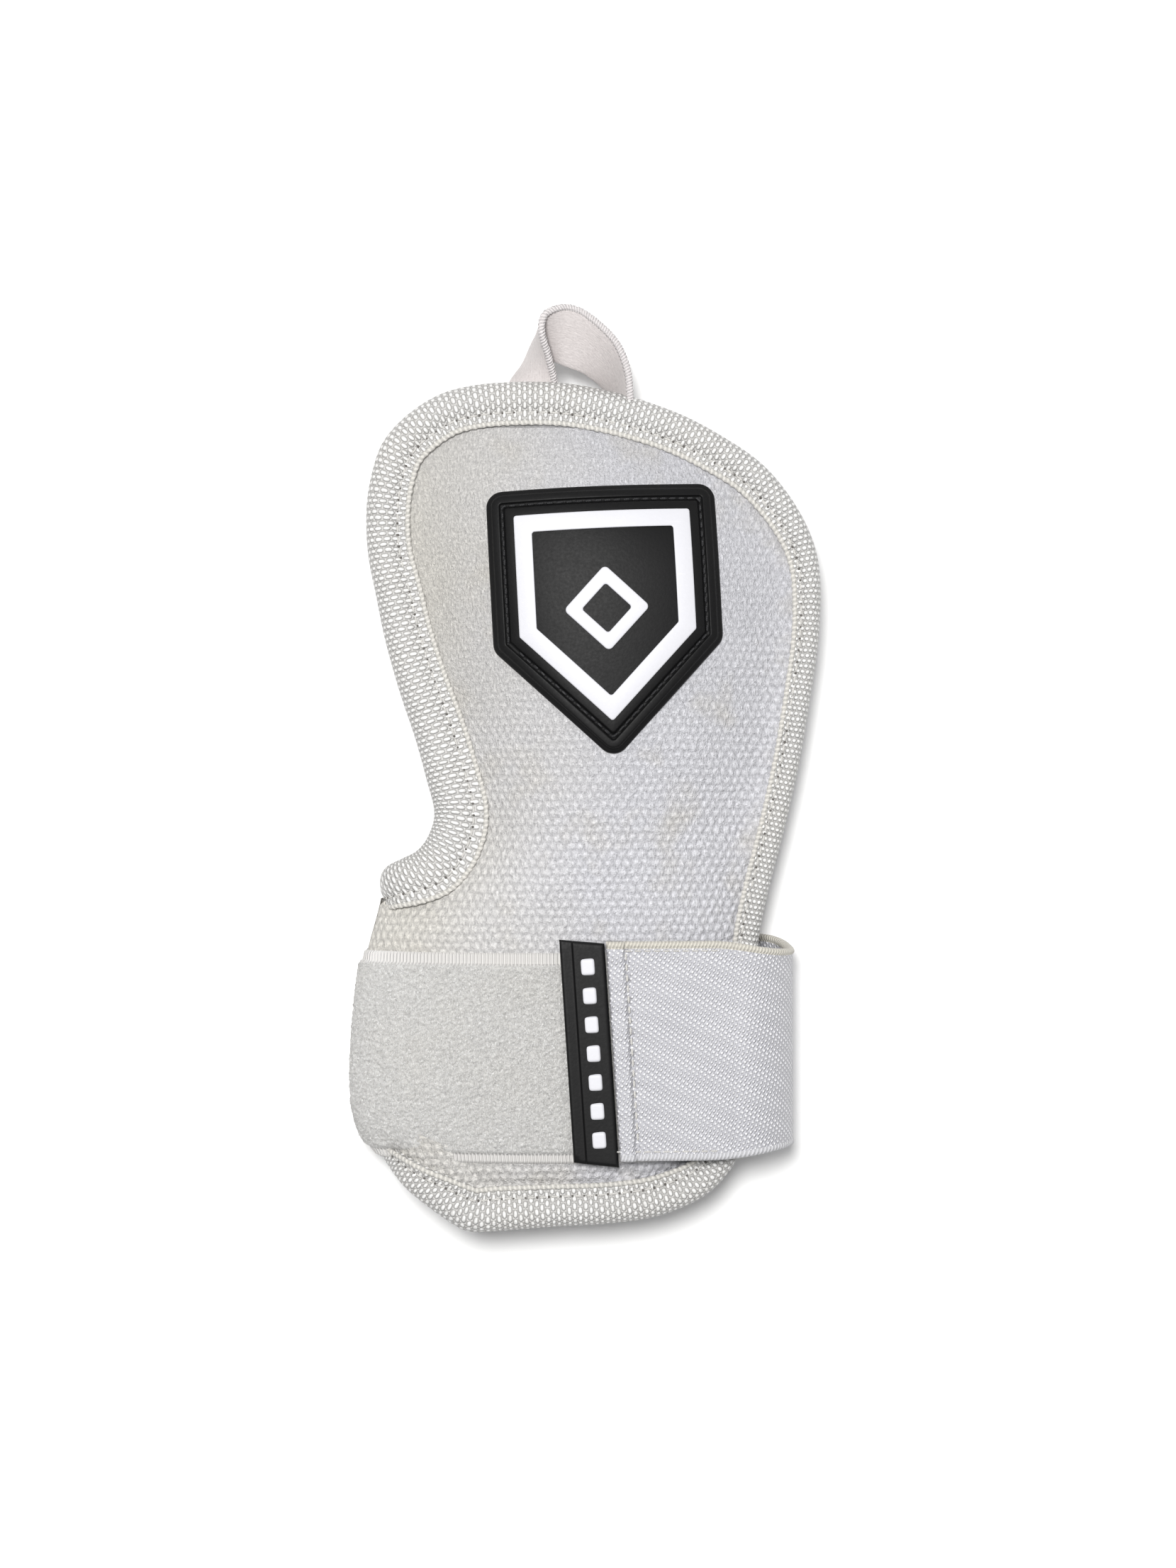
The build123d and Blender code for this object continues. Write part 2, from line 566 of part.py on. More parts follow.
# ---------------------------------------------------------------- the hang loop
with BuildPart() as hang_loop:
    left_x, right_x = LOOP_LEGS_X
    foot_y = LOOP_AXIS_Y + LOOP_START
    with BuildSketch(Plane.XY.offset(SEAM_Z - LOOP_WIDTH / 2)):
        for grow, way in ((LOOP_BAND / 2, Mode.ADD), (-LOOP_BAND / 2, Mode.SUBTRACT)):
            with BuildLine():
                FilletPolyline(
                    (left_x - grow, foot_y), (left_x - grow, LOOP_TOP_Y - LOOP_BAND / 2 + grow),
                    (right_x + grow, LOOP_TOP_Y - 2 - LOOP_BAND / 2 + grow), (right_x + grow, foot_y),
                    radius=LOOP_ROUND + grow,
                )
                Line((right_x + grow, foot_y), (left_x - grow, foot_y))
            make_face(mode=way)
    extrude(amount=LOOP_WIDTH)
    with BuildSketch(Plane.YZ.offset(left_x - 5)):
        with BuildLine():
            Polyline(
                (foot_y, SEAM_Z - 1), (foot_y + 9, SEAM_Z - 10), (foot_y + 40, SEAM_Z - 10),
                (foot_y + 40, SEAM_Z + 10), (foot_y + 9, SEAM_Z + 10), (foot_y, SEAM_Z + 1), close=True,
            )
        make_face()
    extrude(amount=right_x - left_x + 10, mode=Mode.INTERSECT)
save(hang_loop, "hang_loop")

with BuildPart() as hang_loop_tack:
    with Locations(*[(x, LOOP_AXIS_Y, SEAM_Z) for x in LOOP_LEGS_X]):
        Box(4.0, 12.0, 2.4, align=(Align.CENTER, Align.MAX, Align.CENTER))
    add(slab(finger_outline, 0, tape_low, tape_high), mode=Mode.SUBTRACT)
save(hang_loop_tack, "hang_loop_tack")
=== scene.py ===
"""The look of the padded sliding mitt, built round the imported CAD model.

Shapes are worked out in millimetres in the frame of the part: +Y to the fingertips, +X to the little finger,
+Z out of the back of the hand, with z = 0 on the flat palm face.
"""

import math

import bpy
import numpy as np
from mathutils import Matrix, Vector


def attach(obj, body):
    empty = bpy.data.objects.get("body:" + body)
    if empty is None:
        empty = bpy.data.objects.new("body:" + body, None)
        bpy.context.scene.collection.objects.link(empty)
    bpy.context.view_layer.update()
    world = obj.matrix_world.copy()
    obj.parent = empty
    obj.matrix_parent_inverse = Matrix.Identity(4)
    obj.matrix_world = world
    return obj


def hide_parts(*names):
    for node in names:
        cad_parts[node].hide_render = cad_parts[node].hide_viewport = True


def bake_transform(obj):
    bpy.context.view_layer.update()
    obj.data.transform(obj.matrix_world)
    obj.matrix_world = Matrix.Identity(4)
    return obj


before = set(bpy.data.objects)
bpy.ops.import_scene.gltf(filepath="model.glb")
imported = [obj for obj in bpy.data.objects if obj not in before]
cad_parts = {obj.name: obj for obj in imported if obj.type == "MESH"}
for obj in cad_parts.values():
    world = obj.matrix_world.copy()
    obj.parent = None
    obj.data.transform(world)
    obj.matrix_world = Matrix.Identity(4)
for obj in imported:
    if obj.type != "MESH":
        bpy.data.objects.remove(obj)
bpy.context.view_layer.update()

MM = 0.001
rng = np.random.default_rng(11)

# ---------------------------------------------------------------- dimensions
SEAM_Z = 21.5
SIDE_Z = 19.0  # where the cuff's side wall stands upright
CUFF_PALM_Z = 2.6
BACK_EDGE_Z, PALM_EDGE_Z = 26.3, 16.2  # where the two covers meet the roll
UNDER_SPREAD = 26.0  # how far the thumb side of the cuff turns in under the palm
FLOOR_Z, FLOOR_HALF = -0.1, 3000.0
STITCH_PITCH = 3.7

# The thumb's way out through the palm side.
THUMB_X, THUMB_Y = -47.0, -20.5
THUMB_RADII = (13.6, 15.0)

# The pile on the cuff.
PILE_TOP, PILE_LOW = -46.3, -112.3  # y of its long edges
PILE_RIGHT = 30.0
PILE_FOOT_Z = 8.0  # where it ends on the thumb side

# The wrist strap: flat at the front, round the wrist, and back under the palm.
STRAP_TOP, STRAP_LOW = -42.4, -111.0  # y of its long edges
STRAP_WIDTH = STRAP_TOP - STRAP_LOW
STRAP_FREE_X, STRAP_TURN_X = 8.8, 46.5
FRONT_ROWS = 120
BEND_X, BEND_Z, BEND_R = 47.0, 20.1, 18.6
OVERLOCK_WIDTH, SELVEDGE_AT = 2.3, 66.3  # from its upper edge
STRAP_UP = (0.07, 0.0, 1.0)  # the way the front's upper face looks

# The pull tab and its bars.
TAB_WIDTH, TAB_LENGTH, TAB_Z = 14.0, 70.0, 40.5
TAB_THIN, TAB_STEP = 1.9, 0.8  # its thinner strip, and how much thicker the rest is
BAR_COUNT, BAR_PITCH = 7, 9.0

# The bound edge: outer edge x, y, middle z, half height, width, and the way that its upper face looks.
RIM = [
    (-59.0, -24.5, 6.8, 4.4, 10.0, -0.75, 0.0, -0.66), (-60.6, -22.4, 11.0, 4.8, 11.6, -1.0, 0.0, -0.15),
    (-61.2, -20.6, 15.5, 5.0, 13.2, -1.0, 0.0, 0.12), (-61.2, -18.9, 20.6, 5.0, 14.6, -0.76, 0.0, 0.65),
    (-57.6, -16.9, 23.4, 5.1, 16.2, -0.34, 0.0, 0.94), (-53.2, -14.4, 24.4, 5.1, 17.4, -0.05, 0.0, 1.0),
    (-49.7, -9.4, 24.3, 5.2, 17.6, 0.0, 0.0, 1.0), (-48.1, -2.3, 23.4, 6.0, 17.4, 0.0, 0.0, 1.0),
    (-50.6, 7.9, 22.2, 7.1, 17.2, 0.0, 0.0, 1.0), (-54.2, 20.9, SEAM_Z, 7.8, 16.8, 0.0, 0.0, 1.0),
    (-59.4, 36.5, SEAM_Z, 7.8, 16.2, 0.0, 0.0, 1.0), (-63.8, 52.2, SEAM_Z, 7.8, 15.6, 0.0, 0.0, 1.0),
    (-66.8, 66.7, SEAM_Z, 7.8, 15.0, 0.0, 0.0, 1.0), (-69.4, 80.3, SEAM_Z, 7.8, 14.2, 0.0, 0.0, 1.0),
    (-69.9, 93.9, SEAM_Z, 7.8, 14.2, 0.0, 0.0, 1.0), (-68.3, 105.3, SEAM_Z, 7.8, 14.2, 0.0, 0.0, 1.0),
    (-64.7, 115.7, SEAM_Z, 7.8, 14.3, 0.0, 0.0, 1.0), (-57.4, 124.1, SEAM_Z, 7.8, 14.4, 0.0, 0.0, 1.0),
    (-47.0, 130.9, SEAM_Z, 7.8, 14.4, 0.0, 0.0, 1.0), (-36.5, 133.9, SEAM_Z, 7.8, 14.4, 0.0, 0.0, 1.0),
    (-25.2, 135.0, SEAM_Z, 7.8, 14.3, 0.0, 0.0, 1.0), (-10.7, 135.0, SEAM_Z, 7.8, 14.2, 0.0, 0.0, 1.0),
    (0.9, 133.6, SEAM_Z, 7.8, 14.0, 0.0, 0.0, 1.0), (15.4, 130.2, SEAM_Z, 7.8, 13.7, 0.0, 0.0, 1.0),
    (31.1, 124.6, SEAM_Z, 7.8, 13.2, 0.0, 0.0, 1.0), (44.7, 117.3, SEAM_Z, 7.8, 12.6, 0.0, 0.0, 1.0),
    (56.0, 109.5, SEAM_Z, 7.8, 12.0, 0.0, 0.0, 1.0), (64.4, 100.1, SEAM_Z, 7.8, 11.3, 0.0, 0.0, 1.0),
    (70.7, 89.6, SEAM_Z, 7.8, 10.4, 0.0, 0.0, 1.0), (74.3, 79.2, SEAM_Z, 7.8, 9.6, 0.0, 0.0, 1.0),
    (75.3, 67.8, SEAM_Z, 7.8, 9.0, 0.0, 0.0, 1.0), (74.6, 52.2, SEAM_Z, 7.8, 8.6, 0.0, 0.0, 1.0),
    (72.4, 36.5, SEAM_Z, 7.7, 8.4, 0.0, 0.0, 1.0), (69.2, 17.0, SEAM_Z, 7.6, 8.3, 0.0, 0.0, 1.0),
    (65.8, 0.9, SEAM_Z, 7.5, 8.2, 0.0, 0.0, 1.0), (62.3, -13.4, SEAM_Z, 7.3, 8.1, 0.0, 0.0, 1.0),
    (58.9, -26.5, 21.6, 6.9, 8.0, 0.0, 0.0, 1.0), (56.3, -38.5, 22.0, 6.0, 8.0, 0.0, 0.0, 1.0),
    (54.6, -52.0, 22.6, 5.0, 8.0, 0.0, 0.0, 1.0), (52.8, -75.0, 23.0, 4.6, 8.2, 0.0, 0.0, 1.0),
    (50.9, -97.0, 24.0, 4.7, 8.6, 0.0, 0.0, 1.0), (48.6, -111.0, 25.6, 4.9, 9.2, 0.0, 0.0, 1.0),
    (45.2, -117.3, 26.8, 5.0, 10.8, 0.0, 0.0, 1.0), (39.2, -123.0, 28.3, 5.2, 11.8, 0.0, 0.0, 1.0),
    (31.0, -127.3, 29.6, 5.3, 12.6, 0.0, 0.0, 1.0), (20.6, -130.4, 31.0, 5.4, 13.0, 0.0, 0.0, 1.0),
    (6.0, -132.1, 32.0, 5.6, 13.3, 0.0, 0.0, 1.0), (-8.0, -132.8, 32.4, 5.6, 13.6, 0.0, 0.0, 1.0),
    (-23.4, -134.0, 32.3, 5.6, 14.3, 0.0, 0.0, 1.0), (-35.5, -134.7, 31.6, 5.6, 14.6, 0.0, 0.0, 1.0),
    (-41.5, -132.2, 30.8, 5.6, 14.2, -0.08, -0.05, 1.0), (-48.4, -127.2, 29.3, 5.6, 13.2, -0.22, -0.16, 0.96),
    (-54.2, -121.8, 26.8, 5.5, 11.6, -0.45, -0.3, 0.84), (-57.5, -116.4, 22.2, 5.4, 9.0, -0.75, -0.4, 0.5),
    (-60.4, -111.8, 16.0, 5.2, 8.0, -0.9, -0.4, 0.1), (-61.3, -109.8, 9.0, 5.0, 7.6, -0.9, -0.35, -0.2),
]
NOTCH_STATION, FOOT_STATION = 3, 53  # where the cover meets the roll first and last

# The roll round the palm half of the cuff, in the same terms.
PALM_RIM = [
    (-60.5, -111.0, 14.0, 5.0, 8.0, -0.9, -0.4, -0.1), (-58.0, -116.5, 11.0, 5.0, 9.0, -0.7, -0.4, -0.6),
    (-53.5, -121.6, 9.0, 5.2, 10.0, -0.3, -0.25, -0.92), (-47.0, -126.8, 7.2, 5.4, 10.8, 0.0, 0.0, -1.0),
    (-36.5, -131.6, 7.0, 5.5, 11.0, 0.0, 0.0, -1.0), (-22.0, -132.4, 7.0, 5.5, 11.0, 0.0, 0.0, -1.0),
    (-4.0, -131.4, 7.0, 5.5, 11.0, 0.0, 0.0, -1.0), (16.0, -130.0, 7.0, 5.5, 11.0, 0.0, 0.0, -1.0),
    (29.0, -126.6, 7.1, 5.4, 10.8, 0.0, 0.0, -1.0), (39.0, -121.4, 7.4, 5.2, 10.2, 0.0, 0.0, -1.0),
    (45.0, -115.4, 8.2, 5.0, 9.6, 0.0, 0.0, -1.0), (47.6, -107.0, 8.8, 5.0, 9.0, 0.0, 0.0, -1.0),
    (47.8, -90.0, 9.0, 5.0, 9.0, 0.0, 0.0, -1.0), (47.8, -65.0, 9.0, 5.0, 9.0, 0.0, 0.0, -1.0),
    (49.0, -46.0, 10.0, 5.0, 9.0, 0.0, 0.0, -1.0), (52.5, -34.0, 13.0, 5.2, 9.0, 0.0, 0.0, -1.0),
]

# Half of the roll's section, from the outer edge inwards: share of the width, share of the half height.
ROLL_SECTION = [
    (0.0, 0.0), (0.008, 0.26), (0.05, 0.56), (0.14, 0.82), (0.28, 0.985), (0.44, 1.0),
    (0.58, 0.94), (0.68, 0.85),
    (0.735, 0.76), (0.79, 0.80), (0.86, 0.82), (0.92, 0.80), (0.97, 0.72), (1.0, 0.56), (1.01, 0.4),
]
SEAM_AT = 0.735  # share of the width where the roll is sewn down
BEAD_AT = 0.965

# The back's crown line: y, x, z.
CROWN = [
    (-150, -11, 35.0), (-134, -11, 36.5), (-110, -11, 38.5), (-75, -11, 38.8), (-45, -8, 38.3),
    (-20, -3, 38.6),
    (10, 1, 41.3), (40, 3, 44.3), (62, 3, 45.0), (85, 3, 43.6), (105, 3, 39.5), (120, 3, 34.0),
    (150, 3, 22.0),
]
# The palm's middle line: y, z before it is flattened by what the mitt rests on.
KEEL = [(-60, -2.0), (60, -2.0), (88, 0.0), (108, 5.5), (122, 13.0), (150, 30.0)]
# The cuff's thumb side: y, x.
CUFF_LEFT = [
    (-140, -42.0), (-126, -52.0), (-117, -62.0), (-108, -70.2), (-99, -73.4), (-85, -73.9), (-68, -72.8),
    (-53, -71.3), (-40, -68.2), (-32, -65.4), (0, -62.0),
]

# The two edges of the hang loop's band, near (upper) and far.
LOOP_NEAR = [
    (-9.8, 129.0, 19.5), (-9.7, 134.8, 20.5), (-11.5, 142.5, 26.0), (-13.6, 149.3, 30.5),
    (-13.2, 153.9, 31.2),
    (-11.0, 156.2, 30.5), (-6.7, 157.6, 29.2), (-2.4, 156.9, 28.6), (1.6, 154.6, 28.5), (6.3, 150.6, 28.8),
    (9.6, 146.9, 29.0), (11.9, 142.6, 29.0), (13.7, 136.9, 28.5), (14.3, 130.5, 27.5), (14.2, 127.0, 26.5),
]
LOOP_FAR = [
    (-25.2, 129.0, 19.5), (-24.6, 134.8, 20.5), (-20.2, 142.5, 12.4), (-16.4, 149.6, 13.2),
    (-14.6, 147.6, 15.4),
    (-11.8, 143.6, 18.5), (-7.8, 140.8, 22.0), (-4.4, 139.4, 22.4), (-0.9, 138.3, 21.0), (1.9, 136.9, 18.6),
    (4.4, 135.4, 16.5), (6.4, 133.6, 14.6), (8.2, 131.0, 12.8), (9.0, 127.0, 11.8), (9.0, 124.0, 11.8),
]


BADGE_CENTRE, BADGE_TILT = (7.0, 58.0), math.radians(3.0)
BADGE = [(-36.0, -8.0), (-36.0, 42.0), (36.0, 42.0), (36.0, -8.0), (0.0, -44.0)]
DIAMOND = [(-13.4, 3.0), (0.0, 16.4), (13.4, 3.0), (0.0, -10.4)]


# ---------------------------------------------------------------- shape helpers
def smoothstep(low, high, value):
    t = np.clip((np.asarray(value, float) - low) / (high - low), 0, 1)
    return t * t * (3 - 2 * t)


def spline(points, count=0, step=1.0):
    """A smooth curve through points, evenly spaced along the length of its first three columns."""
    p = np.array(points, float)
    ends = np.vstack([2 * p[0] - p[1], p, 2 * p[-1] - p[-2]])
    t = np.linspace(0, 1, 24, endpoint=False)[:, None]
    spans = []
    for a, b, c, d in zip(ends, ends[1:], ends[2:], ends[3:]):
        cubic = 3 * b - a - 3 * c + d
        spans.append(b + 0.5 * ((c - a) * t + (2 * a - 5 * b + 4 * c - d) * t**2 + cubic * t**3))
    dense = np.vstack(spans + [p[-1:]])
    along = run_length(dense[:, :3])
    even = np.linspace(0, along[-1], count or int(along[-1] / step) + 1)
    return np.column_stack([np.interp(even, along, column) for column in dense.T])


def smooth_table(rows, width=9.0):
    """Looks up the columns of rows against the first one, rounded off over width."""
    table = np.array(sorted(rows), float)
    grid = np.arange(-170.0, 171.0, 0.5)
    offsets = np.arange(-3 * width, 3 * width + 0.1, 0.5)
    kernel = np.exp(-0.5 * (offsets / width) ** 2)
    kernel /= kernel.sum()
    pad = len(offsets) // 2
    columns = []
    for column in table.T[1:]:
        wide = np.interp(np.arange(-pad, len(grid) + pad) * 0.5 + grid[0], table[:, 0], column)
        columns.append(np.convolve(wide, kernel, "valid"))
    return lambda y: [np.interp(y, grid, column) for column in columns]


def unit(v):
    return v / np.linalg.norm(v, axis=-1, keepdims=True)


def run_length(line):
    """How far along line each of its points lies."""
    return np.concatenate([[0], np.cumsum(np.linalg.norm(np.diff(line, axis=0), axis=1))])


def at_y(x, y, z):
    """Points in a row across the mitt, all at one y."""
    return np.column_stack([x, np.full(len(x), y), z])


def smoothed(values, width):
    """Columns of values averaged along their length, held at both ends."""
    reach = int(3 * width)
    kernel = np.exp(-0.5 * (np.arange(-reach, reach + 1) / width) ** 2)
    kernel /= kernel.sum()
    wide = np.pad(values, ((reach, reach), (0, 0)), "edge")
    return np.column_stack([np.convolve(column, kernel, "valid") for column in wide.T])


def grid_faces(rows, cols, flip=False):
    corner = (np.arange(rows - 1)[:, None] * cols + np.arange(cols - 1)[None, :]).ravel()
    order = [0, 1, cols + 1, cols]
    return np.column_stack([corner + k for k in (order[::-1] if flip else order)])


def mesh_object(name, points, faces, uvs=None):
    mesh = bpy.data.meshes.new(name)
    mesh.from_pydata((np.asarray(points, float) * MM).tolist(), [], [list(map(int, f)) for f in faces])
    if uvs is not None:
        layer = mesh.uv_layers.new(name="fabric")
        corner = np.empty(len(mesh.loops), np.int32)
        mesh.loops.foreach_get("vertex_index", corner)
        layer.data.foreach_set("uv", np.asarray(uvs, np.float32)[corner].ravel())
    mesh.polygons.foreach_set("use_smooth", [True] * len(mesh.polygons))
    obj = bpy.data.objects.new(name, mesh)
    bpy.context.scene.collection.objects.link(obj)
    return obj


def joined(parts):
    """Several (points, faces, uvs) as one."""
    points, faces, uvs, start = [], [], [], 0
    for p, f, uv in parts:
        points.append(p)
        faces.extend([[v + start for v in face] for face in f])
        uvs.append(uv)
        start += len(p)
    return np.vstack(points), faces, np.vstack(uvs)


def sweep(centres, across, upward, outline, along=None):
    """Moves a closed outline along centres. outline(i) gives its (across, up) points at station i."""
    rings = []
    for i, centre in enumerate(centres):
        section = outline(i)
        rings.append(centre + section[:, :1] * across[i] + section[:, 1:2] * upward[i])
    count = len(rings[0])
    points = np.vstack(rings)
    if along is None:
        along = run_length(centres)
    around = run_length(rings[len(rings) // 2])
    uvs = np.column_stack([np.repeat(along, count), np.tile(around, len(rings))])
    faces = grid_faces(len(rings), count).tolist()
    faces.append(list(range(count)))
    faces.append(list(range(len(points) - 1, len(points) - count - 1, -1)))
    return points, faces, uvs


def wave(values, scale, seed):
    """Smooth repeatable noise of about one feature per scale, between -1 and 1."""
    local = np.random.default_rng(seed)
    v = np.asarray(values, float)
    total = sum(np.sin(v * 2 * np.pi / scale * f + local.uniform(0, 6.28)) / f for f in (0.7, 1.13, 1.9))
    return total / 2.2


# ---------------------------------------------------------------- the bound edge as rails
def rails(stations, step=0.95):
    path = spline(stations, step=step)
    centres, half, width = path[:, :3], path[:, 3], path[:, 4]
    tangent = unit(np.gradient(centres, axis=0))
    inward = unit(smoothed(np.cross(tangent, unit(path[:, 5:8])), 7))
    tangent = unit(tangent - inward * (tangent * inward).sum(1, keepdims=True))
    upward = unit(np.cross(inward, tangent))
    along = run_length(centres)
    return {
        "centre": centres, "half": half, "width": width,
        "inward": inward, "upward": upward, "along": along,
    }


def on_roll(rail, share, rise):
    """Points at a share of the width and of the half height of the roll."""
    return (
        rail["centre"] + rail["inward"] * (rail["width"] * share)[:, None]
        + rail["upward"] * (rail["half"] * rise)[:, None]
    )


rim = rails(RIM)
palm_rim = rails(PALM_RIM)


def station_index(rail, stations, number):
    gap = np.linalg.norm(rail["centre"] - np.array(stations[number][:3]), axis=1)
    return int(gap.argmin())


inner = on_roll(rim, 0.94, 0.6)
rim_core = on_roll(rim, 0.6, 0.1)
top_index = int(inner[:, 1].argmax())
low_index = top_index + int(inner[top_index:, 1].argmin())
notch_start = station_index(rim, RIM, NOTCH_STATION)
bottom_end = station_index(rim, RIM, FOOT_STATION)
left_rail = inner[notch_start:top_index + 1]
right_rail = inner[top_index:low_index + 1]
foot_rail = inner[low_index:bottom_end + 1]
seam_line = inner[notch_start:bottom_end + 1]
seam_along = rim["along"][notch_start:bottom_end + 1]

crown = smooth_table(CROWN)
keel = smooth_table(KEEL, 7.0)
cuff_left = smooth_table(CUFF_LEFT, 5.0)


def at_height(rail, y):
    """The rail's x at each y. The rail runs steadily up or down."""
    order = np.argsort(rail[:, 1])
    return np.interp(y, rail[order, 1], rail[order, 0])


def seam_gap(x, y):
    """The distance in plan to the sewn line, and how far along it the nearest point is."""
    points = np.column_stack([np.ravel(x), np.ravel(y)])
    line = seam_line[::2]
    along = seam_along[::2]
    gap, place = [], []
    for chunk in np.array_split(points, len(points) // 6000 + 1):
        square = ((chunk[:, None, :] - line[None, :, :2]) ** 2).sum(2)
        nearest = square.argmin(1)
        gap.append(np.sqrt(square[np.arange(len(chunk)), nearest]))
        place.append(along[nearest])
    return np.concatenate(gap).reshape(np.shape(x)), np.concatenate(place).reshape(np.shape(x))


def bow(distance, radius):
    return radius - np.sqrt(np.maximum(radius**2 - distance**2, 1.0))


def round_off(u, power=2.25):
    return (1 - np.clip(u, 0, 1) ** power) ** (1 / power)


def back_shape(x, y):
    """Height of the back before its edges are drawn down to the binding."""
    middle, top = crown(y)
    left, = cuff_left(y)
    on_cuff = smoothstep(5, 50, -np.asarray(y, float))
    fingers = top - bow(x - middle, 110)
    side = SIDE_Z + (top - SIDE_Z) * round_off((middle - x) / (middle - left))
    cuff = np.where(x < middle, side, top - bow(x - middle, 150))
    return fingers + (cuff - fingers) * on_cuff, on_cuff


def drawn_down(x, y, gap):
    """The back with its edges drawn down to the binding."""
    shape, on_cuff = back_shape(x, y)
    reach = 38 + (13 - 38) * on_cuff
    edge = BACK_EDGE_Z + (shape - 3.2 - BACK_EDGE_Z) * on_cuff
    rise = 1 - (1 - np.clip(gap / reach, 0, 1)) ** 2.4
    return edge + (shape - edge) * rise


GRID_X, GRID_Y = np.arange(-84.0, 86.0), np.arange(-144.0, 144.0)


def blurred(grid, width):
    return smoothed(smoothed(grid, width).T, width).T


def even_back():
    """The back on a 1 mm grid, averaged so that no ridge is left along its middle."""
    x, y = np.meshgrid(GRID_X, GRID_Y)
    gap, _ = seam_gap(x, y)
    return blurred(drawn_down(x, y, gap), 4.5)


def from_grid(grid, x, y):
    column = np.clip(np.asarray(x, float) - GRID_X[0], 0, len(GRID_X) - 1.001)
    row = np.clip(np.asarray(y, float) - GRID_Y[0], 0, len(GRID_Y) - 1.001)
    i, j = column.astype(int), row.astype(int)
    u, v = column - i, row - j
    low = grid[j, i] * (1 - u) + grid[j, i + 1] * u
    high = grid[j + 1, i] * (1 - u) + grid[j + 1, i + 1] * u
    return low * (1 - v) + high * v


BACK_GRID = even_back()


def back_height(x, y, folds=True):
    gap, place = seam_gap(x, y)
    inside = smoothstep(5, 14, gap) * (1 - smoothstep(-55, -70, x))
    height = drawn_down(x, y, gap)
    height = height + (from_grid(BACK_GRID, x, y) - height) * inside
    if folds:
        height = height + 0.32 * np.exp(-gap / 4.5) * wave(place, 9.5, 3)
        ripple = wave(x + 0.6 * y, 46, 4) * wave(y - 0.4 * x, 57, 5) * np.clip(gap / 12, 0, 1)
        height = height + 0.4 * ripple
        slant = wave(0.75 * x + y, 15, 8) * np.exp(-((x - 50) / 17) ** 2 - ((y + 12) / 24) ** 2)
        height = height + 0.55 * slant * np.clip(gap / 3, 0, 1)
    return height


def palm_shape(x, y, gap):
    """The palm side of the fingers, bowed across and drawn up to the binding."""
    low, = keel(y)
    bowl = np.maximum(low + bow(x - 3, 120), 0.0)
    rise = 1 - (1 - np.clip(gap / 26, 0, 1)) ** 2.4
    return PALM_EDGE_Z + (bowl - PALM_EDGE_Z) * rise


def settled(height, y):
    """The height held above what the mitt lies on, and level over the cuff."""
    on_cuff = smoothstep(22, 44, -np.asarray(y, float))
    height = np.maximum(height, 0)
    return height + (CUFF_PALM_Z - height) * on_cuff


def even_palm():
    x, y = np.meshgrid(GRID_X, GRID_Y)
    gap, _ = seam_gap(x, y)
    return blurred(settled(palm_shape(x, y, gap), y), 4)


PALM_GRID = even_palm()


def palm_height(x, y):
    gap, place = seam_gap(x, y)
    fingers = palm_shape(x, y, gap)
    fingers = fingers + (from_grid(PALM_GRID, x, y) - fingers) * smoothstep(4, 12, gap)
    fingers = fingers + 0.25 * np.exp(-gap / 4.5) * wave(place, 10.5, 6)
    return settled(fingers, y)


def cuff_profile(y, x_right, z_stop, count, lift=0.0):
    """The cuff's skin at y, from x_right over the back and round the thumb side down to z_stop."""
    left = float(cuff_left(y)[0])
    q = np.linspace(0, 1, 420)
    x = left + (x_right - left) * q[::-1] ** 3
    x = np.concatenate([np.linspace(x_right, left + 20, 160)[:-1], x[x < left + 20]])
    z = back_height(x, np.full(len(x), y))
    z[-1] = SIDE_Z
    u = 1 - np.linspace(0, 1, 120) ** 2.5
    under_x = left + UNDER_SPREAD * (1 - u)
    under_z = SIDE_Z - (SIDE_Z - CUFF_PALM_Z) * round_off(u)
    line = np.column_stack([np.concatenate([x, under_x[1:]]), np.concatenate([z, under_z[1:]])])
    if z_stop < SIDE_Z:
        keep = (np.arange(len(line)) < len(x)) | (line[:, 1] > z_stop)
    else:
        keep = np.arange(len(line)) < len(x)
    line = line[keep]
    along = run_length(line)
    even = np.linspace(0, along[-1], count)
    line = np.column_stack([np.interp(even, along, line[:, 0]), np.interp(even, along, line[:, 1])])
    if np.any(lift):
        slope = unit(np.gradient(line, axis=0))
        line = line + np.column_stack([slope[:, 1], -slope[:, 0]]) * np.reshape(lift, (-1, 1))
    return line, even


# ---------------------------------------------------------------- material helpers
def new_material(name, **sockets):
    material = bpy.data.materials.new(name)
    material.use_nodes = True
    tree = material.node_tree
    tree.nodes.clear()
    out = tree.nodes.new("ShaderNodeOutputMaterial")
    shader = tree.nodes.new("ShaderNodeBsdfPrincipled")
    tree.links.new(shader.outputs[0], out.inputs[0])
    for socket, value in sockets.items():
        shader.inputs[socket.replace("_", " ")].default_value = value
    return material, tree, shader


def feed(tree, socket, value):
    if isinstance(value, bpy.types.NodeSocket):
        tree.links.new(value, socket)
    elif value is not None:
        socket.default_value = value


def calc(tree, operation, a, b=None, c=None):
    node = tree.nodes.new("ShaderNodeMath")
    node.operation = operation
    for socket, value in zip(node.inputs, (a, b, c)):
        feed(tree, socket, value)
    return node.outputs[0]


def vector(tree, operation, a, b=None, scale=None):
    node = tree.nodes.new("ShaderNodeVectorMath")
    node.operation = operation
    feed(tree, node.inputs[0], a)
    feed(tree, node.inputs[1], b)
    if scale is not None:
        feed(tree, node.inputs["Scale"], scale)
    return node.outputs["Value"] if operation == "DOT_PRODUCT" else node.outputs[0]


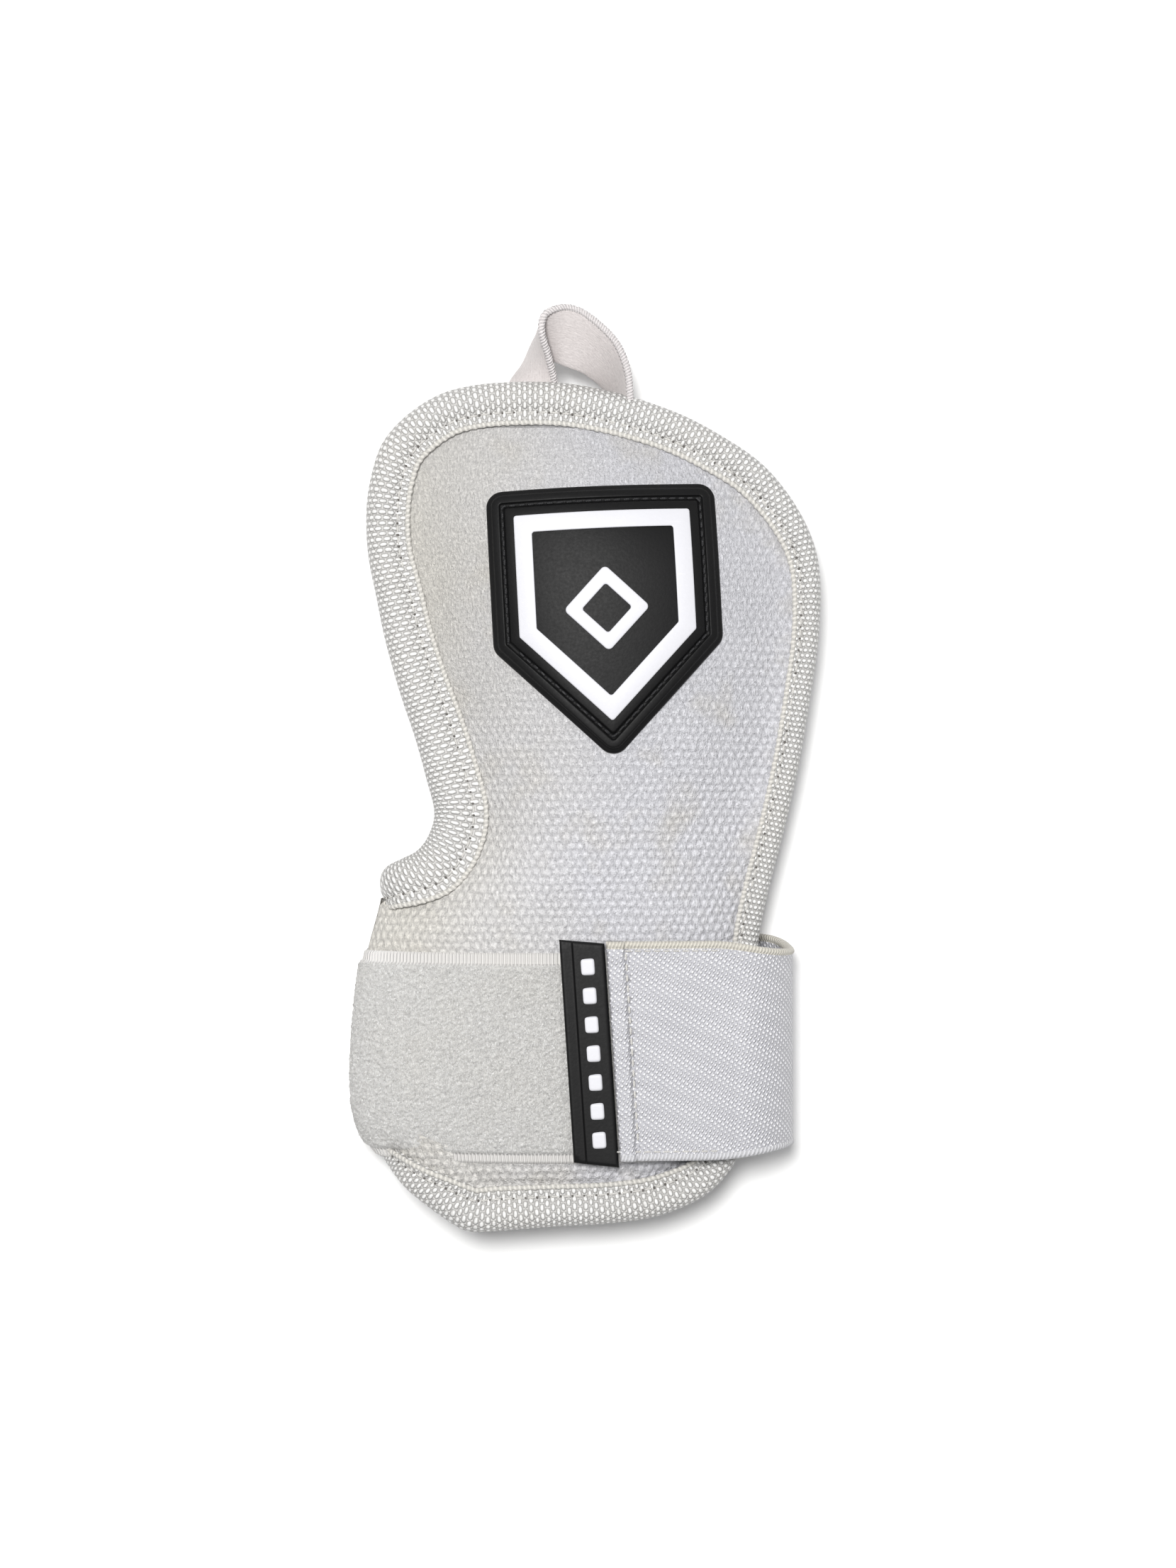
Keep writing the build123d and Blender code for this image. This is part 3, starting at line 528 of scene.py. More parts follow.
def noise(tree, coords, scale, detail=2.0, roughness=0.5, distortion=0.0):
    node = tree.nodes.new("ShaderNodeTexNoise")
    feed(tree, node.inputs["Vector"], coords)
    node.inputs["Scale"].default_value = scale
    node.inputs["Detail"].default_value = detail
    node.inputs["Roughness"].default_value = roughness
    node.inputs["Distortion"].default_value = distortion
    return node.outputs["Fac"]


def blend_colour(tree, factor, a, b):
    node = tree.nodes.new("ShaderNodeMix")
    node.data_type = "RGBA"
    feed(tree, node.inputs[0], factor)
    feed(tree, node.inputs[6], a)
    feed(tree, node.inputs[7], b)
    return node.outputs[2]


def ramp(tree, value, low, high):
    """value taken from low..high to 0..1 and held there."""
    node = tree.nodes.new("ShaderNodeMapRange")
    feed(tree, node.inputs["Value"], value)
    node.inputs["From Min"].default_value = low
    node.inputs["From Max"].default_value = high
    return node.outputs[0]


def bump(tree, height, depth_mm):
    node = tree.nodes.new("ShaderNodeBump")
    node.inputs["Strength"].default_value = 1.0
    node.inputs["Distance"].default_value = depth_mm * MM
    feed(tree, node.inputs["Height"], height)
    return node.outputs[0]


def fabric_coords(tree):
    node = tree.nodes.new("ShaderNodeUVMap")
    node.uv_map = "fabric"
    return node.outputs[0]


def object_coords(tree):
    """Places on the object, in millimetres."""
    node = tree.nodes.new("ShaderNodeTexCoord")
    return vector(tree, "SCALE", node.outputs["Object"], scale=1 / MM)


def parts_of(tree, coords):
    node = tree.nodes.new("ShaderNodeSeparateXYZ")
    feed(tree, node.inputs[0], coords)
    return node.outputs


def stretched(tree, coords, scales, turn=0.0):
    node = tree.nodes.new("ShaderNodeMapping")
    feed(tree, node.inputs[0], coords)
    node.inputs["Rotation"].default_value = (0, 0, turn)
    node.inputs["Scale"].default_value = scales
    return node.outputs[0]


def rgb(red, green, blue):
    """A screen colour of 0 to 255 as the linear colour that sockets take."""
    linear = [
        (v / 255 / 12.92) if v <= 10 else ((v / 255 + 0.055) / 1.055) ** 2.4
        for v in (red, green, blue)
    ]
    return (*linear, 1.0)


# ---------------------------------------------------------------- materials
def small_shift(tree, uv):
    """A slow wander of the coordinates, so that rows don't run dead straight."""
    node = tree.nodes.new("ShaderNodeCombineXYZ")
    elsewhere = vector(tree, "ADD", uv, (71.0, 13.0, 5.0))
    for socket, place in zip(node.inputs, (uv, elsewhere)):
        feed(tree, socket, calc(tree, "MULTIPLY_ADD", noise(tree, place, 0.16, 2.0), 2.6, -1.3))
    return node.outputs[0]


def from_middle(tree, value):
    """How far value is from the middle of the whole step that it lies in, -0.5 to 0.5."""
    return calc(tree, "SUBTRACT", calc(tree, "FRACT", value), 0.5)


def waves(tree, value, rate):
    return calc(tree, "SINE", calc(tree, "MULTIPLY", value, rate))


def tinted(tree, colour, tint):
    return vector(tree, "MULTIPLY", colour, tint)


def darker(colour, share):
    return rgb(*(round(c * share) for c in colour))


def knit_fabric():
    """Off-white knit with fine fibres and rows of small raised scales, clearer towards the wrist."""
    material, tree, shader = new_material(
        "knit_fabric", Roughness=0.82, Sheen_Weight=0.12, Sheen_Roughness=0.5,
    )
    uv = fabric_coords(tree)
    warped = vector(tree, "ADD", uv, small_shift(tree, uv))
    pitch, row = 3.0, 2.6
    cells = None
    for way in ((2 * math.pi / pitch, -math.pi / row, 0), (0, 2 * math.pi / row, 0),
                (2 * math.pi / pitch, math.pi / row, 0)):
        term = calc(tree, "COSINE", vector(tree, "DOT_PRODUCT", warped, way))
        cells = term if cells is None else calc(tree, "ADD", cells, term)
    cells = calc(tree, "MULTIPLY_ADD", cells, 0.30, 0.45)
    x, y, _ = parts_of(tree, uv)
    strength = calc(tree, "MULTIPLY_ADD", ramp(tree, y, 60, -25), 0.62, 0.1)
    strength = calc(tree, "ADD", strength, calc(tree, "MULTIPLY", ramp(tree, x, 25, 62), 0.25))
    patchy = calc(tree, "MULTIPLY_ADD", noise(tree, uv, 0.035, 2.0), 0.8, 0.55)
    cells = calc(tree, "MULTIPLY", cells, calc(tree, "MULTIPLY", strength, patchy))
    fibres = noise(tree, stretched(tree, uv, (1.5, 0.6, 1.0), 0.4), 1.0, 3.0, 0.7, 0.9)
    grain = noise(tree, uv, 1.1, 4.0, 0.72, 0.4)
    height = calc(tree, "MULTIPLY_ADD", fibres, 1.3, calc(tree, "MULTIPLY_ADD", grain, 1.4, cells))
    tree.links.new(bump(tree, height, 0.75), shader.inputs["Normal"])
    warm = ramp(tree, calc(tree, "ADD", x, calc(tree, "MULTIPLY", noise(tree, uv, 0.02, 2.0), 60)), 40, -30)
    base = blend_colour(tree, warm, rgb(216, 216, 221), rgb(215, 212, 205))
    soiled = ramp(tree, noise(tree, uv, 0.05, 3.0), 0.52, 0.75)
    base = blend_colour(tree, calc(tree, "MULTIPLY", soiled, 0.5), base, rgb(207, 202, 191))
    # Painted shade and painted highlight: the knit is darkened in its hollows and lightened on its raised
    # tops, by bump height.
    shade = ramp(tree, height, 1.05, 1.95)
    painted_hollow_shade, painted_top_highlight = tinted(tree, base, (0.72, 0.72, 0.73)), tinted(tree, base, (1.22, 1.22, 1.22))
    base = blend_colour(tree, shade, painted_hollow_shade, painted_top_highlight)
    tree.links.new(base, shader.inputs["Base Color"])
    return material


def woven_binding():
    """Glossy woven tape: ribs across it, each a row of floats set off by half from its neighbour, made bright
    by painted glints, with painted shade where the tape lies low between them.
    """
    material, tree, shader = new_material("woven_binding", Roughness=0.34, Sheen_Weight=0.08)
    uv = fabric_coords(tree)
    u, v, _ = parts_of(tree, uv)
    sway = calc(tree, "MULTIPLY_ADD", noise(tree, uv, 0.22, 1.0), 0.7, -0.35)
    rib = calc(tree, "DIVIDE", calc(tree, "ADD", u, sway), 1.7)
    number = calc(tree, "FLOOR", rib)
    a = from_middle(tree, rib)
    stagger = calc(tree, "MULTIPLY", calc(tree, "MODULO", number, 2.0), 0.5)
    b = from_middle(tree, calc(tree, "ADD", calc(tree, "DIVIDE", v, 2.0), stagger))
    float_a = calc(tree, "POWER", calc(tree, "DIVIDE", calc(tree, "ABSOLUTE", a), 0.42), 2.0)
    float_b = calc(tree, "POWER", calc(tree, "DIVIDE", calc(tree, "ABSOLUTE", b), 0.45), 2.6)
    hump = calc(tree, "MAXIMUM", calc(tree, "SUBTRACT", 1.0, calc(tree, "ADD", float_a, float_b)), 0.0)
    cross = calc(tree, "MULTIPLY", ramp(tree, calc(tree, "ABSOLUTE", b), 0.33, 0.48), 0.25)
    height = calc(tree, "MAXIMUM", calc(tree, "POWER", hump, 0.5), cross)
    fuzz = noise(tree, uv, 3.0, 2.0, 0.6)
    height = calc(tree, "MULTIPLY_ADD", fuzz, 0.16, height)
    tree.links.new(bump(tree, height, 0.8), shader.inputs["Normal"])
    # Painted shade and painted glints: the tape is darkened where it lies low between the floats, and patches
    # of the floats' tops are lightened towards white.
    patches = ramp(tree, noise(tree, uv, 1.3, 2.0), 0.3, 0.62)
    glint = calc(tree, "MULTIPLY", ramp(tree, hump, 0.2, 0.85), patches)
    base = blend_colour(tree, ramp(tree, height, 0.0, 0.42), rgb(152, 150, 148), rgb(202, 201, 199))
    base = blend_colour(tree, glint, base, rgb(238, 238, 237))
    warm = ramp(tree, noise(tree, uv, 0.03, 3.0), 0.45, 0.75)
    base = blend_colour(tree, calc(tree, "MULTIPLY", warm, 0.25), base,
                        tinted(tree, base, (1.0, 0.965, 0.90)))
    tree.links.new(base, shader.inputs["Base Color"])
    tree.links.new(calc(tree, "MULTIPLY_ADD", hump, -0.2, 0.5), shader.inputs["Roughness"])
    return material


def pile_fabric():
    """White brushed pile and a ribbed woven margin along its two long edges; its fibres sparkle with painted
    glints and lower roughness, and painted shade darkens its hollows and the grooves between the margin's
    ribs.
    """
    material, tree, shader = new_material("pile", Roughness=0.7, Sheen_Weight=0.35, Sheen_Roughness=0.35)
    uv = fabric_coords(tree)
    u, v, _ = parts_of(tree, uv)
    tuft = noise(tree, uv, 0.75, 4.0, 0.72, 0.8)
    strands = noise(tree, stretched(tree, uv, (2.2, 0.8, 1.0), 0.9), 1.5, 3.0, 0.7, 1.2)
    height = calc(tree, "MULTIPLY_ADD", strands, 0.7, tuft)
    ribs = calc(tree, "MULTIPLY_ADD", waves(tree, u, 2 * math.pi / 1.15), 0.25, 0.5)
    margin = calc(tree, "MAXIMUM", ramp(tree, v, -50.4, -49.6), ramp(tree, v, -108.9, -109.6))
    height = blend_colour(tree, margin, height, ribs)
    tree.links.new(bump(tree, height, 1.0), shader.inputs["Normal"])
    # Painted glints: bright white specks on the pile, where its roughness is also lowered.
    glint_noise = noise(tree, stretched(tree, uv, (1.6, 1.1, 1.0), 0.5), 1.7, 3.0, 0.75, 0.8)
    spark = ramp(tree, glint_noise, 0.54, 0.62)
    spark = calc(tree, "MULTIPLY", spark, calc(tree, "SUBTRACT", 1.0, margin))
    # Painted shade: the pile is darker where it lies low.
    base = blend_colour(tree, ramp(tree, height, 0.45, 1.0), rgb(160, 158, 157), rgb(226, 225, 222))
    base = blend_colour(tree, spark, base, rgb(255, 255, 255))
    # Painted shade: the margin is darker in the grooves between its ribs.
    woven = blend_colour(tree, ribs, rgb(198, 196, 194), rgb(226, 224, 221))
    base = blend_colour(tree, margin, base, woven)
    cloud = ramp(tree, noise(tree, uv, 0.045, 2.0), 0.4, 0.75)
    base = blend_colour(tree, calc(tree, "MULTIPLY", cloud, 0.35), base,
                        tinted(tree, base, (1.0, 0.985, 0.95)))
    tree.links.new(base, shader.inputs["Base Color"])
    tree.links.new(calc(tree, "MULTIPLY_ADD", spark, -0.45, 0.75), shader.inputs["Roughness"])
    return material


def satin_elastic():
    """Grey-white elastic strap with slanting rows of small raised dots."""
    material, tree, shader = new_material("elastic", Roughness=0.42, Sheen_Weight=0.1)
    uv = fabric_coords(tree)
    u, v, _ = parts_of(tree, uv)
    line = calc(tree, "DIVIDE", vector(tree, "DOT_PRODUCT", uv, (-0.616, 0.788, 0)), 1.45)
    number = calc(tree, "FLOOR", line)
    b = from_middle(tree, line)
    slant = calc(tree, "MULTIPLY", number, 0.5)
    run = calc(tree, "DIVIDE", vector(tree, "DOT_PRODUCT", uv, (0.788, 0.616, 0)), 1.4)
    a = from_middle(tree, calc(tree, "ADD", run, slant))
    long = calc(tree, "POWER", calc(tree, "MULTIPLY", calc(tree, "ABSOLUTE", a), 3.2), 2.0)
    wide = calc(tree, "POWER", calc(tree, "MULTIPLY", calc(tree, "ABSOLUTE", b), 2.6), 2.0)
    reach = calc(tree, "ADD", long, wide)
    dot = calc(tree, "MAXIMUM", calc(tree, "SUBTRACT", 1.0, reach), 0.0)
    twill = waves(tree, calc(tree, "ADD", u, calc(tree, "MULTIPLY", v, 0.63)), 2 * math.pi / 0.85)
    thread = noise(tree, stretched(tree, uv, (0.6, 3.5, 1.0)), 1.0, 2.0, 0.6)
    ground = calc(tree, "MULTIPLY_ADD", twill, 0.12, calc(tree, "MULTIPLY", thread, 0.4))
    height = calc(tree, "ADD", dot, ground)
    tree.links.new(bump(tree, height, 0.5), shader.inputs["Normal"])
    cloud = noise(tree, uv, 0.06, 2.0)
    # Painted shade: the furrows between the rows of dots are darkened.
    furrow_shade = ramp(tree, calc(tree, "ABSOLUTE", b), 0.2, 0.5)
    base = blend_colour(tree, cloud, rgb(180, 180, 186), rgb(200, 200, 205))
    base = blend_colour(tree, furrow_shade, base, tinted(tree, base, (0.74, 0.74, 0.75)))
    base = blend_colour(tree, ramp(tree, dot, 0.05, 0.6), base, rgb(238, 238, 241))
    tree.links.new(base, shader.inputs["Base Color"])
    return material


def edge_knit(name, colour, pitch=1.15):
    """Overlocked or ribbed edge: fine cords across the edge."""
    material, tree, shader = new_material(name, Roughness=0.6, Sheen_Weight=0.15)
    uv = fabric_coords(tree)
    u, v, _ = parts_of(tree, uv)
    slant = calc(tree, "ADD", u, calc(tree, "MULTIPLY", v, 0.35))
    ribs = waves(tree, slant, 2 * math.pi / pitch)
    fuzz = noise(tree, uv, 2.5, 3.0, 0.6)
    height = calc(tree, "MULTIPLY_ADD", ribs, 0.4, fuzz)
    tree.links.new(bump(tree, height, 0.3), shader.inputs["Normal"])
    # Painted shade: the edge is darker between its cords, by bump height.
    dark = darker(colour, 0.84)
    base = blend_colour(tree, ramp(tree, height, 0.1, 0.9), dark, rgb(*colour))
    tree.links.new(base, shader.inputs["Base Color"])
    return material


def loop_elastic():
    """Soft light-grey elastic with fine lengthwise threads and a hairy surface."""
    material, tree, shader = new_material(
        "loop_elastic", Roughness=0.75, Sheen_Weight=0.25, Sheen_Roughness=0.4,
    )
    uv = fabric_coords(tree)
    threads = noise(tree, stretched(tree, uv, (0.5, 3.0, 1.0)), 1.0, 3.0, 0.65, 0.5)
    pebble = noise(tree, uv, 1.6, 3.0, 0.6)
    height = calc(tree, "MULTIPLY_ADD", pebble, 0.6, threads)
    tree.links.new(bump(tree, height, 0.22), shader.inputs["Normal"])
    # Painted shade: the elastic is darker where its surface lies low.
    base = blend_colour(tree, ramp(tree, height, 0.5, 1.1), rgb(176, 170, 169), rgb(208, 202, 201))
    tree.links.new(base, shader.inputs["Base Color"])
    return material


def rubber(name, dark, light, roughness):
    """Moulded rubber with a faint mottled grain and slight rub marks."""
    material, tree, shader = new_material(name, Roughness=roughness, Specular_IOR_Level=0.25)
    coords = object_coords(tree)
    grain = noise(tree, coords, 1.1, 3.0, 0.6)
    marks = ramp(tree, noise(tree, stretched(tree, coords, (0.12, 0.9, 0.5), 0.6), 1.0, 2.0, 0.5), 0.62, 0.8)
    tree.links.new(bump(tree, grain, 0.05), shader.inputs["Normal"])
    wear = calc(tree, "MULTIPLY_ADD", marks, 0.4, calc(tree, "MULTIPLY", grain, 0.5))
    base = blend_colour(tree, wear, dark, light)
    tree.links.new(base, shader.inputs["Base Color"])
    tree.links.new(calc(tree, "MULTIPLY_ADD", grain, 0.22, roughness - 0.1), shader.inputs["Roughness"])
    return material


def lining_fabric():
    """Smooth brushed lining in light grey with a fine square knit."""
    material, tree, shader = new_material("lining", Roughness=0.85, Sheen_Weight=0.2)
    coords = object_coords(tree)
    x, y, _ = parts_of(tree, coords)
    knit = calc(tree, "MULTIPLY", waves(tree, x, 4.2), waves(tree, y, 4.2))
    fuzz = noise(tree, coords, 1.4, 3.0, 0.6)
    height = calc(tree, "MULTIPLY_ADD", knit, 0.25, fuzz)
    tree.links.new(bump(tree, height, 0.25), shader.inputs["Normal"])
    # Painted shade: the lining is darker where its knit lies low.
    base = blend_colour(tree, ramp(tree, height, 0.2, 0.8), rgb(176, 176, 180), rgb(208, 208, 211))
    tree.links.new(base, shader.inputs["Base Color"])
    return material


def twisted_thread(name, colour):
    material, tree, shader = new_material(name, Roughness=0.5)
    coords = object_coords(tree)
    x, y, _ = parts_of(tree, coords)
    twist = waves(tree, calc(tree, "ADD", x, y), 11.0)
    height = calc(tree, "MULTIPLY_ADD", twist, 0.5, noise(tree, coords, 3.0, 2.0))
    tree.links.new(bump(tree, height, 0.12), shader.inputs["Normal"])
    # Painted shade: the thread is darker in the grooves of its twist.
    dark = darker(colour, 0.75)
    base = blend_colour(tree, ramp(tree, height, -0.2, 1.0), dark, rgb(*colour))
    tree.links.new(base, shader.inputs["Base Color"])
    return material


def hook_plastic():
    """Stiff hook tape: rows of tiny nubs."""
    material, tree, shader = new_material("hook", Roughness=0.4)
    coords = object_coords(tree)
    x, y, _ = parts_of(tree, coords)
    nubs = calc(tree, "MULTIPLY", waves(tree, x, 6.28 / 1.3), waves(tree, y, 6.28 / 1.1))
    height = calc(tree, "MULTIPLY_ADD", noise(tree, coords, 1.5, 2.0), 0.3, nubs)
    tree.links.new(bump(tree, height, 0.5), shader.inputs["Normal"])
    # Painted shade: the tape is darker between its nubs.
    tree.links.new(blend_colour(tree, ramp(tree, height, -0.4, 0.8), rgb(176, 176, 180), rgb(232, 232, 234)),
                   shader.inputs["Base Color"])
    return material


def plate_plastic():
    material, tree, shader = new_material("guard_plastic", Roughness=0.5)
    coords = object_coords(tree)
    grain = noise(tree, coords, 0.9, 3.0)
    tree.links.new(bump(tree, grain, 0.08), shader.inputs["Normal"])
    base = blend_colour(tree, grain, rgb(196, 198, 202), rgb(222, 224, 228))
    tree.links.new(base, shader.inputs["Base Color"])
    return material


KNIT = knit_fabric()
BINDING = woven_binding()
BEAD = edge_knit("binding_selvedge", (218, 215, 209), 1.5)
PILE = pile_fabric()
ELASTIC_FACE = satin_elastic()
OVERLOCK = edge_knit("overlock_thread", (214, 210, 199), 1.05)
RIBBED = edge_knit("ribbed_selvedge", (208, 208, 212), 1.2)
LOOP = loop_elastic()
BLACK = rubber("black_rubber", rgb(2, 2, 3), rgb(11, 11, 12), 0.56)
WHITE = rubber("white_rubber", rgb(203, 203, 208), rgb(214, 214, 219), 0.45)
LINING = lining_fabric()
PALE_THREAD = twisted_thread("pale_thread", (226, 224, 220))
BLACK_THREAD = twisted_thread("black_thread", (40, 40, 42))
# Painted shade: a dark grey for small capsules set in the needle holes.
HOLE_SHADE = twisted_thread("stitch_hole_shade", (112, 108, 104))
HOOK = hook_plastic()
PLATE = plate_plastic()


def finish_piece(obj, material, body, slot, *stands_for):
    obj.data.materials.append(material)
    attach(obj, body)
    if stands_for:
        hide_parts(*stands_for)
    return obj


# ---------------------------------------------------------------- bound edges
def roll_outline(rail, wobble_seed):
    """The roll's closed section at each station, slightly uneven and drawn in at every stitch."""
    half = spline([(a, b, 0) for a, b in ROLL_SECTION], 24)[:, :2]
    loop = np.vstack([half[::-1] * (1, -1), half[1:]])
    slow = wave(rail["along"], 23, wobble_seed)
    quick = wave(rail["along"], 7.5, wobble_seed + 1)
    swell = 1 + 0.035 * slow + 0.02 * quick
    pinch = 0.5 + 0.5 * np.cos(2 * np.pi * rail["along"] / STITCH_PITCH)
    near_seam = np.exp(-((loop[:, 0] - SEAM_AT) / 0.07) ** 2)

    def outline(i):
        up = loop[:, 1] * rail["half"][i] * swell[i]
        up = up - np.sign(up) * near_seam * pinch[i] * 0.28
        return np.column_stack([loop[:, 0] * rail["width"][i], up])

    return outline


def bound_edge(name, rail, seed):
    middle = on_roll(rail, 0.5, 0.9)
    along = run_length(middle)
    outline = roll_outline(rail, seed)
    points, faces, uvs = sweep(rail["centre"], rail["inward"], rail["upward"], outline, along)
    return mesh_object(name, points, faces, uvs)


def cord_along(line, upward, radius, spin, around=10):
    """A thin twisted cord on the surface along line."""
    tangent = unit(np.gradient(line, axis=0))
    across = unit(np.cross(tangent, upward))
    up = np.cross(across, tangent)
    along = run_length(line)
    angle = np.linspace(0, 2 * np.pi, around + 1)

    def outline(i):
        size = radius * (1 + 0.16 * np.cos(2 * angle + 2 * np.pi * along[i] / spin))
        return np.column_stack([np.cos(angle) * size, np.sin(angle) * size])

    return sweep(line, across, up, outline, along)


def resampled(line, others, step):
    along = run_length(line)
    even = np.linspace(0, along[-1], int(along[-1] / step) + 1)
    return [np.column_stack([np.interp(even, along, c) for c in np.asarray(a).T]) for a in (line, *others)]


def stitches(line, upward, pitch, length, radius, sink=0.0, gap_phase=0.0):
    """Separate threads along line, each a capsule bedded in the surface."""
    fine, up = resampled(line, [upward], 0.1)
    along = np.arange(len(fine)) * 0.1
    parts = []
    angle = np.linspace(0, 2 * np.pi, 7)
    for start in np.arange(pitch * (0.5 + gap_phase), along[-1] - pitch, pitch):
        s = start + np.linspace(-0.5, 0.5, 7) * length
        centre = np.column_stack([np.interp(s, along, fine[:, k]) for k in range(3)])
        lift = np.column_stack([np.interp(s, along, up[:, k]) for k in range(3)])
        tangent = unit(np.gradient(centre, axis=0))
        across = unit(np.cross(tangent, lift))
        bulge = np.sqrt(np.maximum(1 - np.linspace(-1, 1, 7) ** 4, 0.02))
        centre = centre + lift * (bulge * 0.5 * radius - sink)[:, None]
        ring = [
            c + radius * b * (np.cos(angle)[:, None] * a + np.sin(angle)[:, None] * l)
            for c, a, l, b in zip(centre, across, lift, bulge)
        ]
        points = np.vstack(ring)
        uvs = np.column_stack([np.repeat(s, 7), np.tile(angle, 7)])
        parts.append((points, grid_faces(7, 7).tolist(), uvs))
    return joined(parts)


def build_binding():
    """The bound edge round the fingers, with its selvedge, seam, and dark capsules painted as shade in its
    needle holes.
    """
    roll = finish_piece(bound_edge("edge_binding", rim, 21), BINDING, "mitt", "webbing", "finger_binding",
                        "cuff_dorsal_binding")
    palm_roll = finish_piece(bound_edge("cuff_palm_edge_binding", palm_rim, 31), BINDING, "mitt", "webbing",
                             "cuff_palm_binding")
    beads, threads, hole_shades = [], [], []
    for rail, first, last, sides in ((rim, 8, -8, (1, -1)), (palm_rim, 6, -6, (1,))):
        window = slice(first, last)
        for side in sides:
            face = [side * rail["upward"][window]]
            line, up = resampled(on_roll(rail, BEAD_AT, side * 0.78)[window], face, 0.4)
            beads.append(cord_along(line, up, 0.78, 2.6))
            line, up = resampled(on_roll(rail, SEAM_AT, side * 0.765)[window], face, 0.5)
            threads.append(stitches(line, up, STITCH_PITCH, 2.5, 0.34, 0.05))
            # Dark capsules between the stitches: painted shade in the needle holes.
            hole_shades.append(stitches(line, up, STITCH_PITCH, 0.85, 0.42, 0.22, 0.5))
    finish_piece(mesh_object("binding_selvedge", *joined(beads)), BEAD, "mitt", "webbing")
    finish_piece(mesh_object("binding_stitches", *joined(threads)), PALE_THREAD, "mitt", "thread",
                 "binding_seam")
    finish_piece(mesh_object("binding_stitch_hole_shade", *joined(hole_shades)), HOLE_SHADE, "mitt", "thread")


# ---------------------------------------------------------------- covers
def skin_rows(y_low, y_high, count):
    """Rows between two heights, closer together at both ends."""
    t = (1 - np.cos(np.linspace(0, np.pi, count))) / 2
    even = np.linspace(0, 1, count)
    return y_low + (y_high - y_low) * (0.75 * even + 0.25 * t)


def tucked(point):
    """The place inside the roll where the cover's edge beside point is sewn in."""
    nearest = int(((inner - point) ** 2).sum(1).argmin())
    return rim_core[nearest:nearest + 1]


def corner_allowance():
    """The cover's turned-in edge behind the roll, round the lower corner on the thumb side."""
    window = slice(bottom_end - 90, bottom_end + 1)
    core, ward, up = rim_core[window], rim["inward"][window], rim["upward"][window]
    strips = [core, inner[window] - 0.6 * up, inner[window] + 5.0 * ward - 1.4 * up,
              inner[window] + 10.0 * ward - 3.2 * up]
    points = np.stack(strips, axis=1).reshape(-1, 3)
    return points, grid_faces(len(core), len(strips), True), points[:, :2]


def build_back_cover():
    """The back, from the roll's sewn line over the cuff to its lower edge."""
    columns = 190
    y_top, y_low = inner[top_index, 1] - 0.05, inner[low_index, 1] + 0.05
    side_top, side_low = left_rail[0, 1] + 0.3, foot_rail[-1, 1] - 0.2
    rows = skin_rows(y_low, y_top, 380)
    points, uvs = [], []
    for y in rows:
        x_right = float(at_height(right_rail, y))
        if side_low < y < side_top:
            line, _ = cuff_profile(y, x_right, SIDE_Z, columns)
        else:
            rail = left_rail if y >= side_top else foot_rail
            x = np.linspace(x_right, float(at_height(rail, y)), columns)
            line = np.column_stack([x, back_height(x, np.full(columns, y))])
        skin = at_y(line[:, 0], y, line[:, 1])
        last = skin[-1:] if side_low < y < side_top else tucked(skin[-1])
        skin = np.vstack([tucked(skin[0]), skin, last])
        along = run_length(skin[:, (0, 2)])
        middle = float(crown(y)[0])
        origin = np.interp(-middle, -line[:, 0], along[1:-1])
        points.append(skin)
        uvs.append(np.column_stack([middle + origin - along, np.full(columns + 2, y)]))
    skin = np.vstack(points), grid_faces(len(rows), columns + 2, True), np.vstack(uvs)
    obj = mesh_object("back_cover", *joined([skin, corner_allowance()]))
    finish_piece(obj, KNIT, "mitt", "knit_fabric", "dorsal_cover", "dorsal_foam", "cuff_dorsal_cover",
                 "cuff_dorsal_foam")


def in_thumb_hole(x, y):
    return ((x - THUMB_X) / THUMB_RADII[0]) ** 2 + ((y - THUMB_Y) / THUMB_RADII[1]) ** 2 < 1


def round_thumb_hole(angle, grow, stretch=1.0):
    """x and y of an oval round the hole, that much larger than it."""
    along_x = (THUMB_RADII[0] + grow[0]) * stretch
    along_y = (THUMB_RADII[1] + grow[1]) * stretch
    return THUMB_X + along_x * np.cos(angle), THUMB_Y + along_y * np.sin(angle)


def build_palm_cover():
    """The palm side, open where the thumb comes out."""
    columns = 150
    palm_inner = on_roll(palm_rim, 0.94, 0.6)
    foot = int(palm_inner[:, 1].argmin())
    right = palm_inner[foot:]
    left_foot = palm_inner[:foot + 1]
    y_top = inner[top_index, 1] - 0.05
    rows = skin_rows(palm_inner[foot, 1] + 0.05, y_top, 260)
    points, uvs = [], []
    for y in rows:
        on_cuff = float(smoothstep(30, 42, -y))
        x_right = float(at_height(right_rail, max(y, -42.0)))
        x_right = x_right + (float(at_height(right, min(y, -34.5))) - x_right) * on_cuff
        if y > -111:
            x_left = float(at_height(left_rail, max(y, left_rail[0, 1])))
            turned = float(cuff_left(y)[0]) + UNDER_SPREAD
            x_left = x_left + (turned - x_left) * float(smoothstep(31, 33.5, -y))
        else:
            x_left = float(at_height(left_foot, y))
        x = np.linspace(x_right, x_left, columns)
        points.append(at_y(x, y, palm_height(x, np.full(columns, y))))
        uvs.append(np.column_stack([x, np.full(columns, y)]))
    points = np.vstack(points)
    faces = grid_faces(len(rows), columns)
    middle = points[faces].mean(1)
    faces = faces[~in_thumb_hole(middle[:, 0], middle[:, 1])]
    obj = mesh_object("palm_cover_fabric", points, faces, np.vstack(uvs))
    hidden = ("palm_cover", "palm_foam", "cuff_palm_cover", "cuff_palm_foam")
    finish_piece(obj, KNIT, "mitt", "knit_fabric", *hidden)


